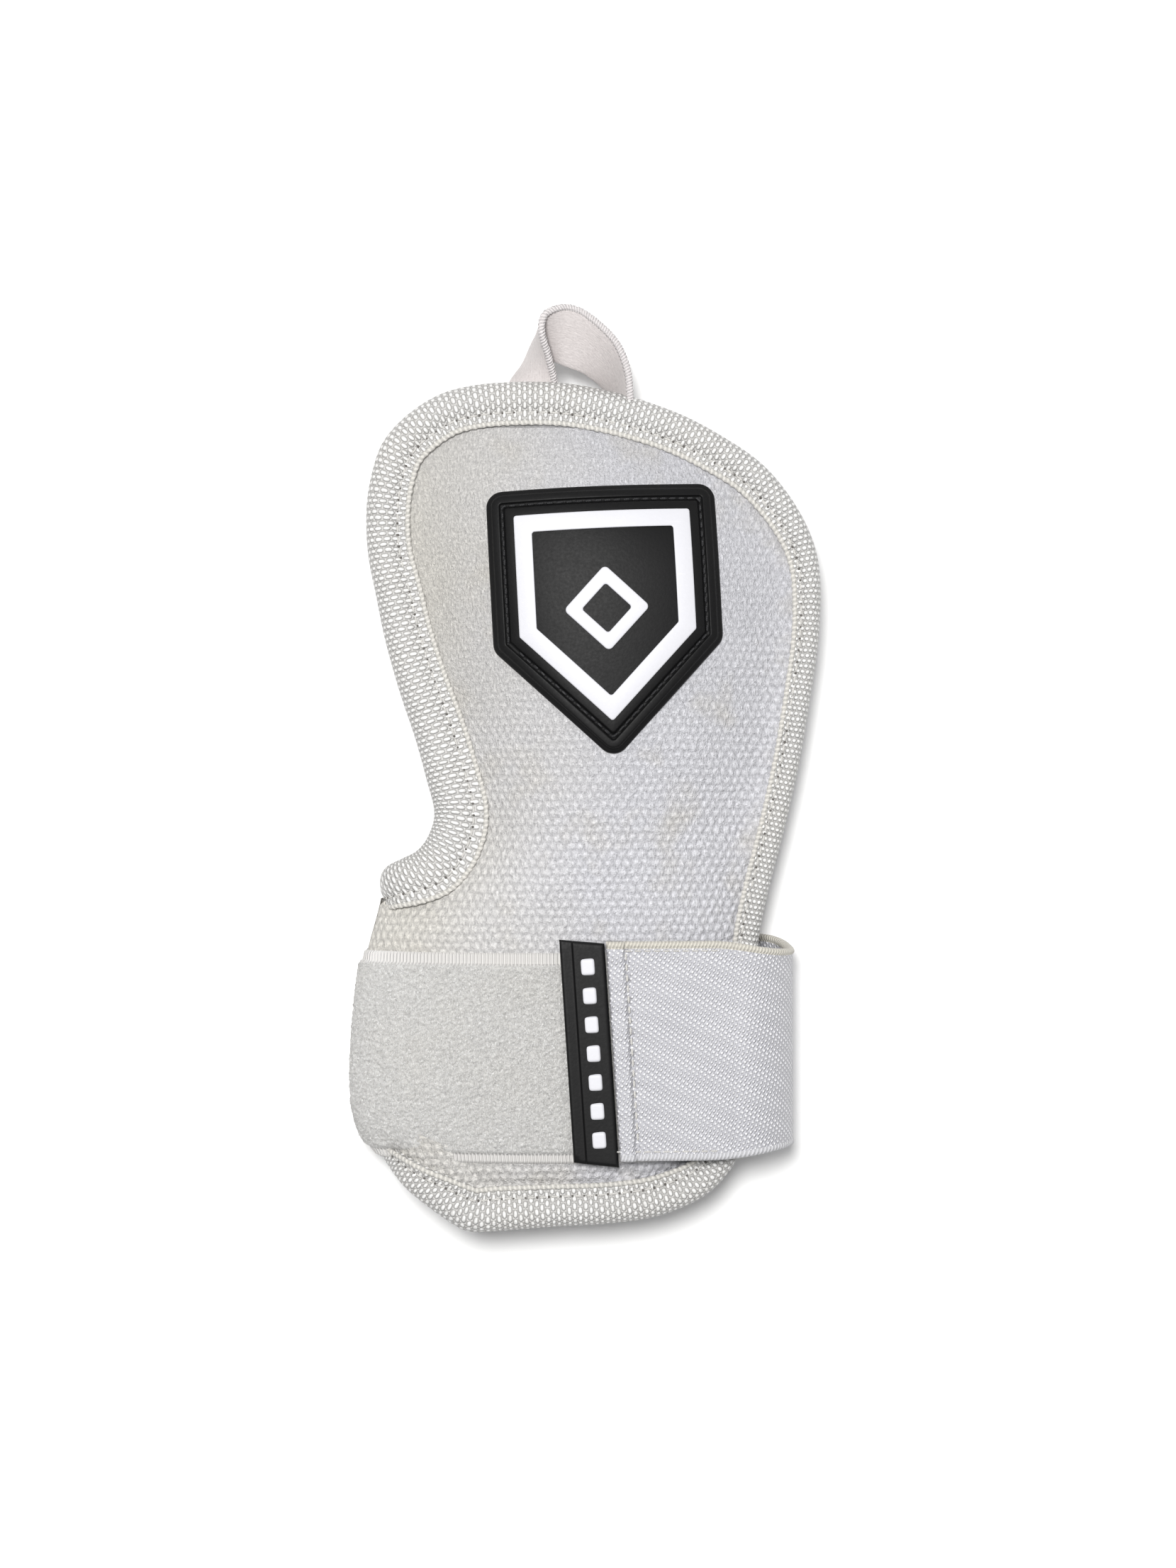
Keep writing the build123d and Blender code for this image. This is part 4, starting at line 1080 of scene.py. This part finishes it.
def build_side_wrap():
    """The thumb side of the cuff below its widest line, turning under the palm."""
    rows, columns = np.linspace(-111.5, -30.0, 114), 46
    points, uvs = [], []
    u = 1 - np.linspace(0, 1, columns) ** 1.8
    for y in rows:
        left = float(cuff_left(y)[0])
        x = left + 0.15 + UNDER_SPREAD * (1 - u)
        z = SIDE_Z + 2.0 - (SIDE_Z + 2.0 - CUFF_PALM_Z) * round_off(u)
        points.append(at_y(x, y, z))
        down = run_length(np.column_stack([x, z]))
        uvs.append(np.column_stack([left - down, np.full(columns, y)]))
    points = np.vstack(points)
    faces = np.array(grid_faces(len(rows), columns, True))
    middle = points[faces].mean(1)
    faces = faces[~(in_thumb_hole(middle[:, 0], middle[:, 1]) & (middle[:, 2] < 10))]
    obj = mesh_object("cuff_side_fabric", points, faces, np.vstack(uvs))
    finish_piece(obj, KNIT, "mitt", "knit_fabric", "cuff_side_wrap")


def build_linings():
    """The inside of the mitt: one sleeve in two halves, open along the little-finger side of the cuff."""
    rows = np.linspace(-124.0, 117.0, 160)
    share = np.linspace(1, -1, 71)
    for name, nodes, way in (
        ("back_lining", ("dorsal_lining", "cuff_dorsal_lining"), 1),
        ("palm_lining_fabric", ("palm_lining", "cuff_palm_lining"), -1),
    ):
        points = []
        for y in rows:
            in_mitt = float(smoothstep(34, 46, -y))
            right = float(at_height(right_rail, max(y, -46.0))) - 2.0
            right = right + (np.interp(y, (-124, -118, -110, -100), (33, 39, 43, 44)) - right) * in_mitt
            left = float(at_height(left_rail, max(y, left_rail[0, 1]))) + 2.0
            cuff = np.interp(y, (-124, -118, -110, -100, -36), (-46, -52, -59, -65, -59))
            left = left + (cuff - left) * float(smoothstep(26, 36, -y))
            half = 7.3 + 1.5 * float(smoothstep(-120, -95, y)) - 6.6 * float(smoothstep(60, 117, y))
            closed = (1 - np.abs(share) ** 3.2) ** (1 / 3.2)
            open_side = np.where(share > 0, in_mitt, 0.0)
            z = 19.5 + way * half * (closed + (1 - closed) * open_side)
            x = (right + left) / 2 + share * (right - left) / 2
            points.append(at_y(x, y, z))
        points = np.vstack(points)
        faces = grid_faces(len(rows), len(share), way < 0)
        if way < 0:
            middle = points[faces].mean(1)
            faces = faces[~in_thumb_hole(middle[:, 0], middle[:, 1])]
        finish_piece(mesh_object(name, points, faces), LINING, "mitt", "lining", *nodes)


def build_thumb_edge():
    """The bound edge of the thumb's way out through the palm side, and the lining inside it."""
    angle = np.radians(np.linspace(78, -140, 84))
    x, y = round_thumb_hole(angle, (1.0, 1.0))
    z = palm_height(x, y) + 3.6
    z = np.clip(np.where(x < -52, np.minimum(z, 8.0 + 0.2 * (y + 20)), z), 5.5, 17.0)
    z = z + (20.5 - z) * smoothstep(35, 72, np.degrees(angle))
    line = np.column_stack([x, y, z])
    outward = unit(np.column_stack([np.cos(angle), np.sin(angle), 0 * angle]))
    turn = np.linspace(0, 2 * np.pi, 25)
    section = np.column_stack([3.2 * np.cos(turn), 3.9 * np.sin(turn)])
    up = np.tile([0.0, 0.0, 1.0], (len(line), 1))
    roll = mesh_object("thumb_edge_binding", *sweep(line, outward, up, lambda i: section))
    finish_piece(roll, BINDING, "mitt", "webbing", "thumb_hole_binding")
    points = []
    for t in np.linspace(0, 1, 14):
        x, y = round_thumb_hole(angle, (0.3, 0.4), 1 + 0.10 * t)
        points.append(np.column_stack([x, y, line[:, 2] + t * (18.5 - line[:, 2])]))
    gusset = mesh_object("thumb_gusset", np.vstack(points), grid_faces(14, len(angle)))
    finish_piece(gusset, LINING, "mitt", "lining")


# ---------------------------------------------------------------- pile panel
def build_pile():
    """The pile round the thumb side of the cuff: thin woven margins, and a rough face between them."""
    rows, columns = np.linspace(PILE_LOW, PILE_TOP, 190), 300
    points, uvs = [], []
    for y in rows:
        edge = min(y - PILE_LOW, PILE_TOP - y)
        thick = 1.0 + 0.8 * float(smoothstep(3.0, 4.2, edge))
        thick = thick * (0.25 + 0.75 * min(edge / 0.7, 1.0))
        line, along = cuff_profile(y, PILE_RIGHT, PILE_FOOT_Z, columns, 1.0)
        total = along[-1]
        ends = np.clip(np.minimum(along, total - along) / 0.8, 0.1, 1)
        line, along = cuff_profile(y, PILE_RIGHT, PILE_FOOT_Z, columns, thick * ends)
        points.append(at_y(line[:, 0], y, line[:, 1]))
        uvs.append(np.column_stack([along, np.full(columns, y)]))
    points = np.vstack(points).reshape(len(rows), columns, 3)
    edge = np.minimum(rows - PILE_LOW, PILE_TOP - rows)
    rough = rng.normal(0, 1, points.shape[:2])
    rough = (rough + np.roll(rough, 1, 0) + np.roll(rough, 1, 1)) / 1.73
    normal = np.cross(np.gradient(points, axis=0), np.gradient(points, axis=1))
    normal = unit(normal)
    if normal[len(rows) // 2, columns // 4, 2] < 0:
        normal = -normal
    amount = 0.17 * smoothstep(3.2, 4.5, edge)[:, None] * rough
    points = points + normal * amount[..., None]
    faces = grid_faces(len(rows), columns, True)
    obj = mesh_object("pile_panel", points.reshape(-1, 3), faces, np.vstack(uvs))
    finish_piece(obj, PILE, "mitt", "pile", "loop_panel")


# ---------------------------------------------------------------- wrist strap
def strap_edges(x, z):
    """The strap's two long edges, which draw in a little where it rounds the wrist."""
    turned = smoothstep(40, 66, x) * smoothstep(4, 22, z)
    return STRAP_TOP - 3.2 * turned, STRAP_LOW + 2.4 * turned


def strap_end_x(y):
    """The slanting free end."""
    return 6.5 + (y + 43.0) / -70.0 * 4.6


def strap_face(v, width):
    """Half thickness of the strap at v millimetres from its upper edge: bead, then face, then rib."""
    bead = np.sqrt(np.clip(1 - ((v - 1.15) / 1.15) ** 2, 0, 1)) * 1.55
    low = width - v
    rib = np.sqrt(np.clip(1 - ((low - 1.2) / 1.2) ** 2, 0, 1)) * 1.45
    body = 1.05 * np.clip(np.minimum(v, low) / 0.6, 0, 1)
    return np.maximum(np.maximum(bead, body), rib)


def strap_rows():
    """(x, z, place), the way each row faces, and how far along it is, from the free end to the sewn end.

    place runs from 0 to 1 down the front, and is more than 1 past it.
    """
    rows = []
    for t in np.linspace(0, 1, FRONT_ROWS) ** 1.25:
        x = STRAP_FREE_X + t * (STRAP_TURN_X - STRAP_FREE_X)
        z = 38.7 + 3.5 * (STRAP_TURN_X - x) / STRAP_TURN_X + 0.7 * math.sin(math.pi * t)
        rows.append((x, z, t))
    for a in np.radians(np.linspace(88, -90, 120)):
        rows.append((BEND_X + BEND_R * math.cos(a), BEND_Z + BEND_R * math.sin(a), 2))
    for x in np.linspace(45, -25, 60):
        rows.append((x, 1.5, 2))
    rows = np.array(rows)
    slope = unit(np.gradient(rows[:, :2], axis=0))
    along = run_length(rows[:, :2])
    return rows, np.column_stack([-slope[:, 1], slope[:, 0]]), along


STRAP_ROWS, STRAP_NORMAL, STRAP_ALONG = strap_rows()


def hem_lift(distance, y):
    """The hem folded over at the free end: a soft roll, then the sewn valley with its puckers."""
    roll = 1.5 * np.sqrt(np.clip(1 - ((distance - 2.7) / 2.7) ** 4, 0, 1)) * (1 + 0.12 * wave(y, 5.5, 12))
    valley = -0.7 * math.exp(-((distance - 6.0) / 0.6) ** 2)
    pucker = 0.42 * wave(y + 0.3 * distance, 6.0, 13) * math.exp(-max(distance - 5.6, 0) / 3.0)
    return roll + valley + pucker * (distance > 5.4)


def strap_part(name, material, first, last, v_from, v_to):
    """Part of the strap, both faces, between two rows and two distances from its upper edge."""
    distances = [np.linspace(0, OVERLOCK_WIDTH, 9), np.linspace(2.9, 65.8, 84)]
    distances.append(np.linspace(SELVEDGE_AT, STRAP_WIDTH, 9))
    share = np.concatenate(distances) / STRAP_WIDTH
    pick = share[(share >= v_from / STRAP_WIDTH - 1e-6) & (share <= v_to / STRAP_WIDTH + 1e-6)]
    parts = []
    for side in (1, -1):
        points, uvs = [], []
        for i in range(first, last):
            x, z, place = STRAP_ROWS[i]
            top, low = strap_edges(x, z)
            v = pick * (top - low)
            y = top - v
            half = strap_face(v, top - low)
            if place <= 1 and side > 0:
                half = half + hem_lift(x - STRAP_FREE_X, y)
            half = half * (0.35, 0.8, 0.95, 1.0)[min(i, 3)]
            px = np.full(len(pick), x)
            if place <= 1:
                px = px + (strap_end_x(y) - STRAP_FREE_X) * (1 - place)
            px = px + STRAP_NORMAL[i, 0] * half * side
            points.append(np.column_stack([px, y, z + STRAP_NORMAL[i, 1] * half * side]))
            uvs.append(np.column_stack([np.full(len(pick), STRAP_ALONG[i]), v]))
        faces = grid_faces(last - first, len(pick), side < 0)
        parts.append((np.vstack(points), faces, np.vstack(uvs)))
    obj = mesh_object(name, *joined(parts))
    obj.data.materials.append(material)
    return obj


def build_strap():
    """The strap in two lengths, each a face, an overlocked upper edge and a ribbed lower one."""
    bands = (
        ("face", ELASTIC_FACE, OVERLOCK_WIDTH, SELVEDGE_AT),
        ("overlock", OVERLOCK, 0, OVERLOCK_WIDTH),
        ("selvedge", RIBBED, SELVEDGE_AT, STRAP_WIDTH),
    )
    split = int(np.argmax(STRAP_ROWS[:, 0]))
    pieces = []
    for length, first, last in (("front", 0, split + 1), ("anchor", split, len(STRAP_ROWS))):
        pieces.append([
            strap_part(f"strap_{length}_{band}", material, first, last, v_from, v_to)
            for band, material, v_from, v_to in bands
        ])
    slots = ("elastic", "thread", "elastic")
    for obj, slot in zip(pieces[0], slots):
        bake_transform(obj)
    for obj, slot in zip(pieces[1], slots):
        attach(obj, "mitt")
    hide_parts("wrist_strap")
    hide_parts("strap_edge_trim")
    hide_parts("strap_anchor")


def front_z(x):
    """The middle of the strap's thickness at x on its front run."""
    return np.interp(x, STRAP_ROWS[:FRONT_ROWS, 0], STRAP_ROWS[:FRONT_ROWS, 1])


def build_strap_stitches():
    """The hem's seam across the strap, and one along each of its long edges."""
    count = 60
    up = np.tile(STRAP_UP, (count, 1))
    y = np.linspace(-45.6, -108.6, count)
    x = strap_end_x(y) + 6.0
    line = np.column_stack([x, y, front_z(x) + 0.85])
    threads = [stitches(line, up, 3.3, 2.4, 0.36)]
    x = np.linspace(9.0, 44.0, count)
    for y in (-45.4, -107.9):
        threads.append(stitches(at_y(x, y, front_z(x) + 1.12), up, 3.0, 2.3, 0.26, 0.08))
    finish_piece(mesh_object("strap_stitches", *joined(threads)), PALE_THREAD, "strap", "thread")


def build_under_strap():
    hem = mesh_object("strap_hem_fold", *under_patch(0.4, 9.2, 0.85, 1.2))
    finish_piece(hem, ELASTIC_FACE, "strap", "elastic", "strap_hem")
    hook = mesh_object("hook_tape", *under_patch(10.0, 36.0, 1.35, 3.4))
    finish_piece(hook, HOOK, "strap", "hook", "hook_patch")


def slab_grid(top, bottom):
    """A closed plate between two grids of the same size (rows, columns, 3)."""
    rows, cols = top.shape[:2]
    points = np.vstack([top.reshape(-1, 3), bottom.reshape(-1, 3)])
    faces = grid_faces(rows, cols).tolist() + (grid_faces(rows, cols, True) + rows * cols).tolist()
    ring = (
        list(range(cols)) + [r * cols + cols - 1 for r in range(1, rows)]
        + [(rows - 1) * cols + c for c in range(cols - 2, -1, -1)]
        + [r * cols for r in range(rows - 2, 0, -1)]
    )
    for a, b in zip(ring, ring[1:] + ring[:1]):
        faces.append([b, a, a + rows * cols, b + rows * cols])
    uvs = np.column_stack([points[:, 0], points[:, 1]])
    return points, faces, uvs


def under_patch(start, stop, thick, inset):
    """A patch under the strap's front run, from start to stop past its free end."""
    y_top, y_low = STRAP_TOP - inset, STRAP_LOW + inset
    y = np.linspace(y_top, y_low, 60)
    share = np.linspace(0, 1, 26)
    x = strap_end_x(y)[None, :] + (start + share * (stop - start))[:, None]
    z = front_z(x) - 1.0
    y = np.broadcast_to(y, x.shape)
    top = np.dstack([x, y, z])
    end_gap = np.minimum(share, 1 - share)[:, None] * (stop - start)
    rim_gap = np.minimum(end_gap, np.minimum(y - y_low, y_top - y))
    bottom = np.dstack([x, y, z - thick * np.clip(rim_gap / 0.8, 0.45, 1)])
    return slab_grid(top, bottom)


# ---------------------------------------------------------------- pull tab
TAB_TOP_LEFT, TAB_LOW_LEFT = np.array([-8.0, -41.9]), np.array([-3.4, -111.4])
TAB_TOP_RIGHT, TAB_LOW_RIGHT = np.array([6.1, -43.1]), np.array([10.7, -112.9])


def tab_lift(share, down):
    """How far the tab's underside curls up at a share of its width and of its length."""
    return 0.55 * (1 - share) ** 2 + 0.5 * np.sin(np.pi * down) * (1 - share)


def eased(gap):
    """A quarter round from 0 to 1 over a gap of 0 to 1."""
    return np.sqrt(1 - (1 - np.clip(gap, 0, 1)) ** 2)


def build_tab():
    """The rubber tab at the strap's free end, with a thinner strip along its far edge."""
    across = np.concatenate([[0, 0.12, 0.4, 0.8, 1.4], np.linspace(2.0, 3.5, 4), [3.8, 3.95, 4.15, 4.5],
                             np.linspace(5.2, 12.6, 12), [13.2, 13.6, 13.9, 14.0]])
    close = np.array([0, 0.012, 0.04, 0.1, 0.2, 0.35])
    down = np.concatenate([close, np.linspace(0.6, 69.4, 90), TAB_LENGTH - close[::-1]]) / TAB_LENGTH
    left = TAB_TOP_LEFT + down[:, None] * (TAB_LOW_LEFT - TAB_TOP_LEFT)
    right = TAB_TOP_RIGHT + down[:, None] * (TAB_LOW_RIGHT - TAB_TOP_RIGHT)
    share = across[None, :] / TAB_WIDTH
    plan = left[:, None, :] + share[..., None] * (right - left)[:, None, :]
    side_gap = np.minimum(across, TAB_WIDTH - across)[None, :]
    end_gap = np.minimum(down, 1 - down)[:, None] * TAB_LENGTH
    pull = np.where((across[None, :] < 2.0) & (end_gap < 2.0), 0.35, 0.0)
    thick = TAB_THIN + TAB_STEP * smoothstep(3.7, 4.2, across)[None, :]
    rounding = eased(np.minimum(side_gap, end_gap) / 0.8)
    base_z = TAB_Z + tab_lift(share, down[:, None])
    top = np.dstack([plan, base_z + thick * (0.45 + 0.55 * rounding) - pull])
    bottom = np.dstack([plan, base_z + 0.5 * (1 - rounding)])
    tab = mesh_object("pull_tab_rubber", *slab_grid(top, bottom))
    finish_piece(tab, BLACK, "tab", "black_rubber", "pull_tab")


def build_tab_bars():
    """A row of small raised grip bars with rounded corners down the tab."""
    axis = unit(TAB_LOW_LEFT - TAB_TOP_LEFT)
    side = np.array([-axis[1], axis[0]])
    middle = (TAB_TOP_LEFT + TAB_LOW_LEFT + TAB_TOP_RIGHT + TAB_LOW_RIGHT) / 4 + side * 1.3
    a, b = np.meshgrid(np.linspace(-1, 1, 15), np.linspace(-1, 1, 13), indexing="ij")
    reach = np.maximum(np.abs(a), np.abs(b))
    squarish = (np.abs(a) ** 6 + np.abs(b) ** 6) ** (1 / 6)
    shrink = np.where(squarish > 0, reach / np.maximum(squarish, 1e-6), 1)
    pa, pb = a * shrink * 2.6, b * shrink * 2.2
    share = 0.62 - pb / TAB_WIDTH
    parts = []
    for number in range(BAR_COUNT):
        centre = middle + axis * (number - BAR_COUNT // 2) * BAR_PITCH
        spot = centre + pa[..., None] * axis + pb[..., None] * side
        down = (number * BAR_PITCH + 8.0) / TAB_LENGTH
        ground = TAB_Z + TAB_THIN + TAB_STEP + tab_lift(share, down)
        top = np.dstack([spot, ground + 0.55 * eased((1 - reach) / 0.3)])
        parts.append(slab_grid(top, np.dstack([spot, ground - 0.25])))
    bars = mesh_object("tab_bars", *joined(parts))
    finish_piece(bars, WHITE, "tab", "white_rubber", "tab_grip_bars")


# ---------------------------------------------------------------- badge
def rounded_outline(corners, inset, radius, per_corner=10, per_side=14):
    """The outline moved in by inset, its corners rounded, with the same number of points for any inset."""
    p = np.array(corners, float)
    centre = p.mean(0)
    count = len(p)
    lines = []
    for a, b in zip(p, np.roll(p, -1, 0)):
        along = unit(b - a)
        inward = np.array([-along[1], along[0]])
        if inward @ (centre - a) < 0:
            inward = -inward
        lines.append((a + inward * inset, along))
    moved = []
    for (a, u), (b, v) in zip(lines[-1:] + lines[:-1], lines):
        t = np.linalg.solve(np.column_stack([u, -v]), b - a)[0]
        moved.append(a + u * t)
    moved = np.array(moved)
    soft = max(radius - inset, 0.9)
    arcs = []
    for before, here, after in zip(np.roll(moved, 1, 0), moved, np.roll(moved, -1, 0)):
        u, v = unit(before - here), unit(after - here)
        half = math.acos(float(np.clip(u @ v, -1, 1))) / 2
        middle = here + unit(u + v) * soft / math.sin(half)
        start, end = here + u * soft / math.tan(half), here + v * soft / math.tan(half)
        a0 = math.atan2(*(start - middle)[::-1])
        turn = math.atan2(*(end - middle)[::-1]) - a0
        turn = (turn + math.pi) % (2 * math.pi) - math.pi
        angle = a0 + np.linspace(0, 1, per_corner) * turn
        arcs.append(middle + soft * np.column_stack([np.cos(angle), np.sin(angle)]))
    outline = []
    for k in range(count):
        outline.append(arcs[k])
        outline.append(np.linspace(arcs[k][-1], arcs[(k + 1) % count][0], per_side + 2)[1:-1])
    return np.vstack(outline)


def badge_ground(plan):
    """Plan points of the badge turned into place, and the back's height under them."""
    cos, sin = math.cos(BADGE_TILT), math.sin(BADGE_TILT)
    turn = np.array([[cos, -sin], [sin, cos]])
    placed = plan @ turn.T + BADGE_CENTRE
    return placed, back_height(placed[:, 0], placed[:, 1], False)


def ring_stack(corners, radius, levels, filled):
    """Rings of one outline at several insets and heights, joined, and filled in the middle."""
    rings = []
    for inset, height in levels:
        placed, ground = badge_ground(rounded_outline(corners, inset, radius))
        rings.append(np.column_stack([placed, ground + height]))
    if filled:
        plan_centre = np.array(corners).mean(0)[None, :]
        for share in (0.8, 0.6, 0.4, 0.2, 0.02):
            outline = rounded_outline(corners, levels[-1][0], radius)
            placed, ground = badge_ground(plan_centre + (outline - plan_centre) * share)
            rings.append(np.column_stack([placed, ground + levels[-1][1]]))
    count = len(rings[0])
    points = np.vstack([np.vstack([r, r[:1]]) for r in rings])
    faces = grid_faces(len(rings), count + 1).tolist()
    if filled:
        faces.append(list(range(len(points) - count - 1, len(points) - 1)))
    return points, faces, points[:, :2]


def raised_line(start, stop):
    """Insets and heights over a raised line with eased edges between two insets."""
    edge = [(0.0, 2.8), (0.0, 3.6), (0.12, 3.82), (0.45, 3.92)]
    return [(start + inset, z) for inset, z in edge] + [(stop - inset, z) for inset, z in edge[::-1]]


def build_badge():
    """The raised badge: a black plate, its white lines, and the groove's thread."""
    base_levels = [
        (-0.1, -0.8), (-0.05, 0.5), (0.1, 1.15), (0.35, 1.45), (0.8, 1.6), (1.3, 1.72),
        (1.5, 1.95), (1.6, 2.6),
        (1.8, 2.9), (2.2, 3.02), (3.6, 3.02), (4.0, 2.95), (4.15, 2.6), (4.3, 2.0), (5.6, 2.0), (5.75, 2.6),
        (5.9, 2.9), (6.2, 3.0), (8.0, 3.0), (11.0, 3.0), (14.5, 3.0),
    ]
    base = mesh_object("badge_black_base", *ring_stack(BADGE, 5.0, base_levels, True))
    finish_piece(base, BLACK, "mitt", "black_rubber", "badge_base")
    border = ring_stack(BADGE, 5.0, raised_line(8.5, 14.0), False)
    diamond = ring_stack(DIAMOND, 1.6, raised_line(0.0, 4.0), False)
    inlay = mesh_object("badge_white_inlay", *joined([border, diamond]))
    finish_piece(inlay, WHITE, "mitt", "white_rubber", "badge_inlay")
    outline = rounded_outline(BADGE, 4.95, 5.0)
    outline = np.vstack([outline, outline[:1]])
    placed, ground = badge_ground(outline)
    line = np.column_stack([placed, ground + 2.1])
    line, = resampled(line, [], 0.6)
    up = np.tile([0.0, 0.0, 1.0], (len(line), 1))
    thread = mesh_object("badge_stitches", *stitches(line, up, 3.0, 2.5, 0.42))
    finish_piece(thread, BLACK_THREAD, "mitt", "thread", "badge_stitching")


# ---------------------------------------------------------------- hang loop
def build_hang_loop():
    """The folded elastic loop at the fingertips, with its bound edge."""
    both = spline([(*a, *b) for a, b in zip(LOOP_NEAR, LOOP_FAR)], 130)
    near, far = both[:, :3], both[:, 3:]
    centre = (near + far) / 2
    across = unit(far - near)
    half_width = np.linalg.norm(far - near, axis=1) / 2
    tangent = unit(np.gradient(centre, axis=0))
    normal = unit(smoothed(np.cross(tangent, across), 2))
    turn = np.linspace(0, 2 * np.pi, 61)
    shape_a = np.sign(np.cos(turn)) * np.abs(np.cos(turn)) ** 0.35
    shape_b = np.sign(np.sin(turn)) * np.abs(np.sin(turn)) ** 0.6

    def outline(i):
        return np.column_stack([shape_a * half_width[i], shape_b])

    band = mesh_object("hang_loop_band", *sweep(centre, across, normal, outline))
    band.data.materials.append(LOOP)
    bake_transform(band)
    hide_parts("hang_loop")
    line, up = resampled(near[3:-3], [-across[3:-3]], 0.5)
    rope = mesh_object("hang_loop_edge", *cord_along(line, up, 1.12, 1.3, 12))
    rope.data.materials.append(edge_knit("loop_edge", (226, 221, 221), 0.9))
    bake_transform(rope)


def build_tacks():
    """Short bar tacks that hold the loop's ends inside the roll."""
    parts = []
    for x, y, z in ((-17.0, 131.0, 21.5), (13.0, 128.5, 21.5)):
        line = np.column_stack([np.linspace(x - 5, x + 5, 30), np.full(30, y), np.full(30, z)])
        parts.append(cord_along(line, np.tile([0.0, 0.0, 1.0], (30, 1)), 0.9, 1.2, 8))
    tack = mesh_object("hang_loop_bar_tack", *joined(parts))
    finish_piece(tack, PALE_THREAD, "mitt", "thread", "hang_loop_tack")


# ---------------------------------------------------------------- guard plates
def build_plates():
    """The stiff plates sewn in under the foam, trimmed to stay clear of the drawn-down edges."""
    plates = (("back_guard_plate", "dorsal_plate", 1.0), ("palm_guard_plate", "palm_plate", -0.9))
    for name, node, drop in plates:
        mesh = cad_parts[node].data.copy()
        for v in mesh.vertices:
            x, y, z = (value / MM for value in v.co)
            v.co = ((5 + (x - 5) * 0.84) * MM, (42 + (y - 42) * 0.88) * MM, (z - drop) * MM)
        mesh.materials.clear()
        plate = bpy.data.objects.new(name, mesh)
        bpy.context.scene.collection.objects.link(plate)
        finish_piece(plate, PLATE, "mitt", "guard_plastic", node)


# ---------------------------------------------------------------- build
build_binding()
build_back_cover()
build_palm_cover()
build_side_wrap()
build_linings()
build_thumb_edge()
build_pile()
build_strap()
build_strap_stitches()
build_under_strap()
build_tab()
build_tab_bars()
build_badge()
build_hang_loop()
build_tacks()
build_plates()

# ---------------------------------------------------------------- floor, lights, camera
floor_material, floor_tree, floor_shader = new_material("floor", Roughness=0.95, Specular_IOR_Level=0.1)
floor_grain = noise(floor_tree, object_coords(floor_tree), 0.02, 2.0)
floor_tree.links.new(blend_colour(floor_tree, floor_grain, rgb(247, 247, 247), rgb(251, 251, 251)),
                     floor_shader.inputs["Base Color"])
corners = ((-1, -1), (1, -1), (1, 1), (-1, 1))
floor = mesh_object("floor", [(x * FLOOR_HALF, y * FLOOR_HALF, FLOOR_Z) for x, y in corners], [[0, 1, 2, 3]])
floor.data.materials.append(floor_material)


def area_light(name, place, size, power, tint):
    """A round soft light that looks at the middle of the mitt."""
    data = bpy.data.lights.new(name, "AREA")
    data.shape = "DISK"
    data.size = size
    data.energy = power
    data.color = tint
    light = bpy.data.objects.new(name, data)
    bpy.context.scene.collection.objects.link(light)
    light.location = place
    way = Vector((0, 0, 0.03)) - Vector(place)
    light.rotation_mode = "QUATERNION"
    light.rotation_quaternion = way.to_track_quat("-Z", "Y")


area_light("key", (-0.10, 0.20, 1.05), 0.3, 12.6, (1.0, 0.995, 0.985))
area_light("fill", (0.9, 0.7, 1.1), 0.9, 1.6, (0.98, 0.99, 1.0))
world = bpy.data.worlds.new("studio")
world.use_nodes = True
background = world.node_tree.nodes["Background"]
background.inputs[0].default_value = (1.0, 1.0, 1.0, 1.0)
background.inputs[1].default_value = 0.36
bpy.context.scene.world = world

bpy.context.scene.view_settings.view_transform = "Standard"
CAMERA_DISTANCE, CAMERA_FRAME = 0.75, 0.502  # metres: above the seam, and what the frame's long side takes in
camera_data = bpy.data.cameras.new("camera")
camera_data.sensor_width = 36.0
camera_data.lens = camera_data.sensor_width * CAMERA_DISTANCE / CAMERA_FRAME
camera = bpy.data.objects.new("camera", camera_data)
bpy.context.scene.collection.objects.link(camera)
camera.location = (0.0010, 0.0066, CAMERA_DISTANCE + SEAM_Z * MM)
bpy.context.scene.camera = camera
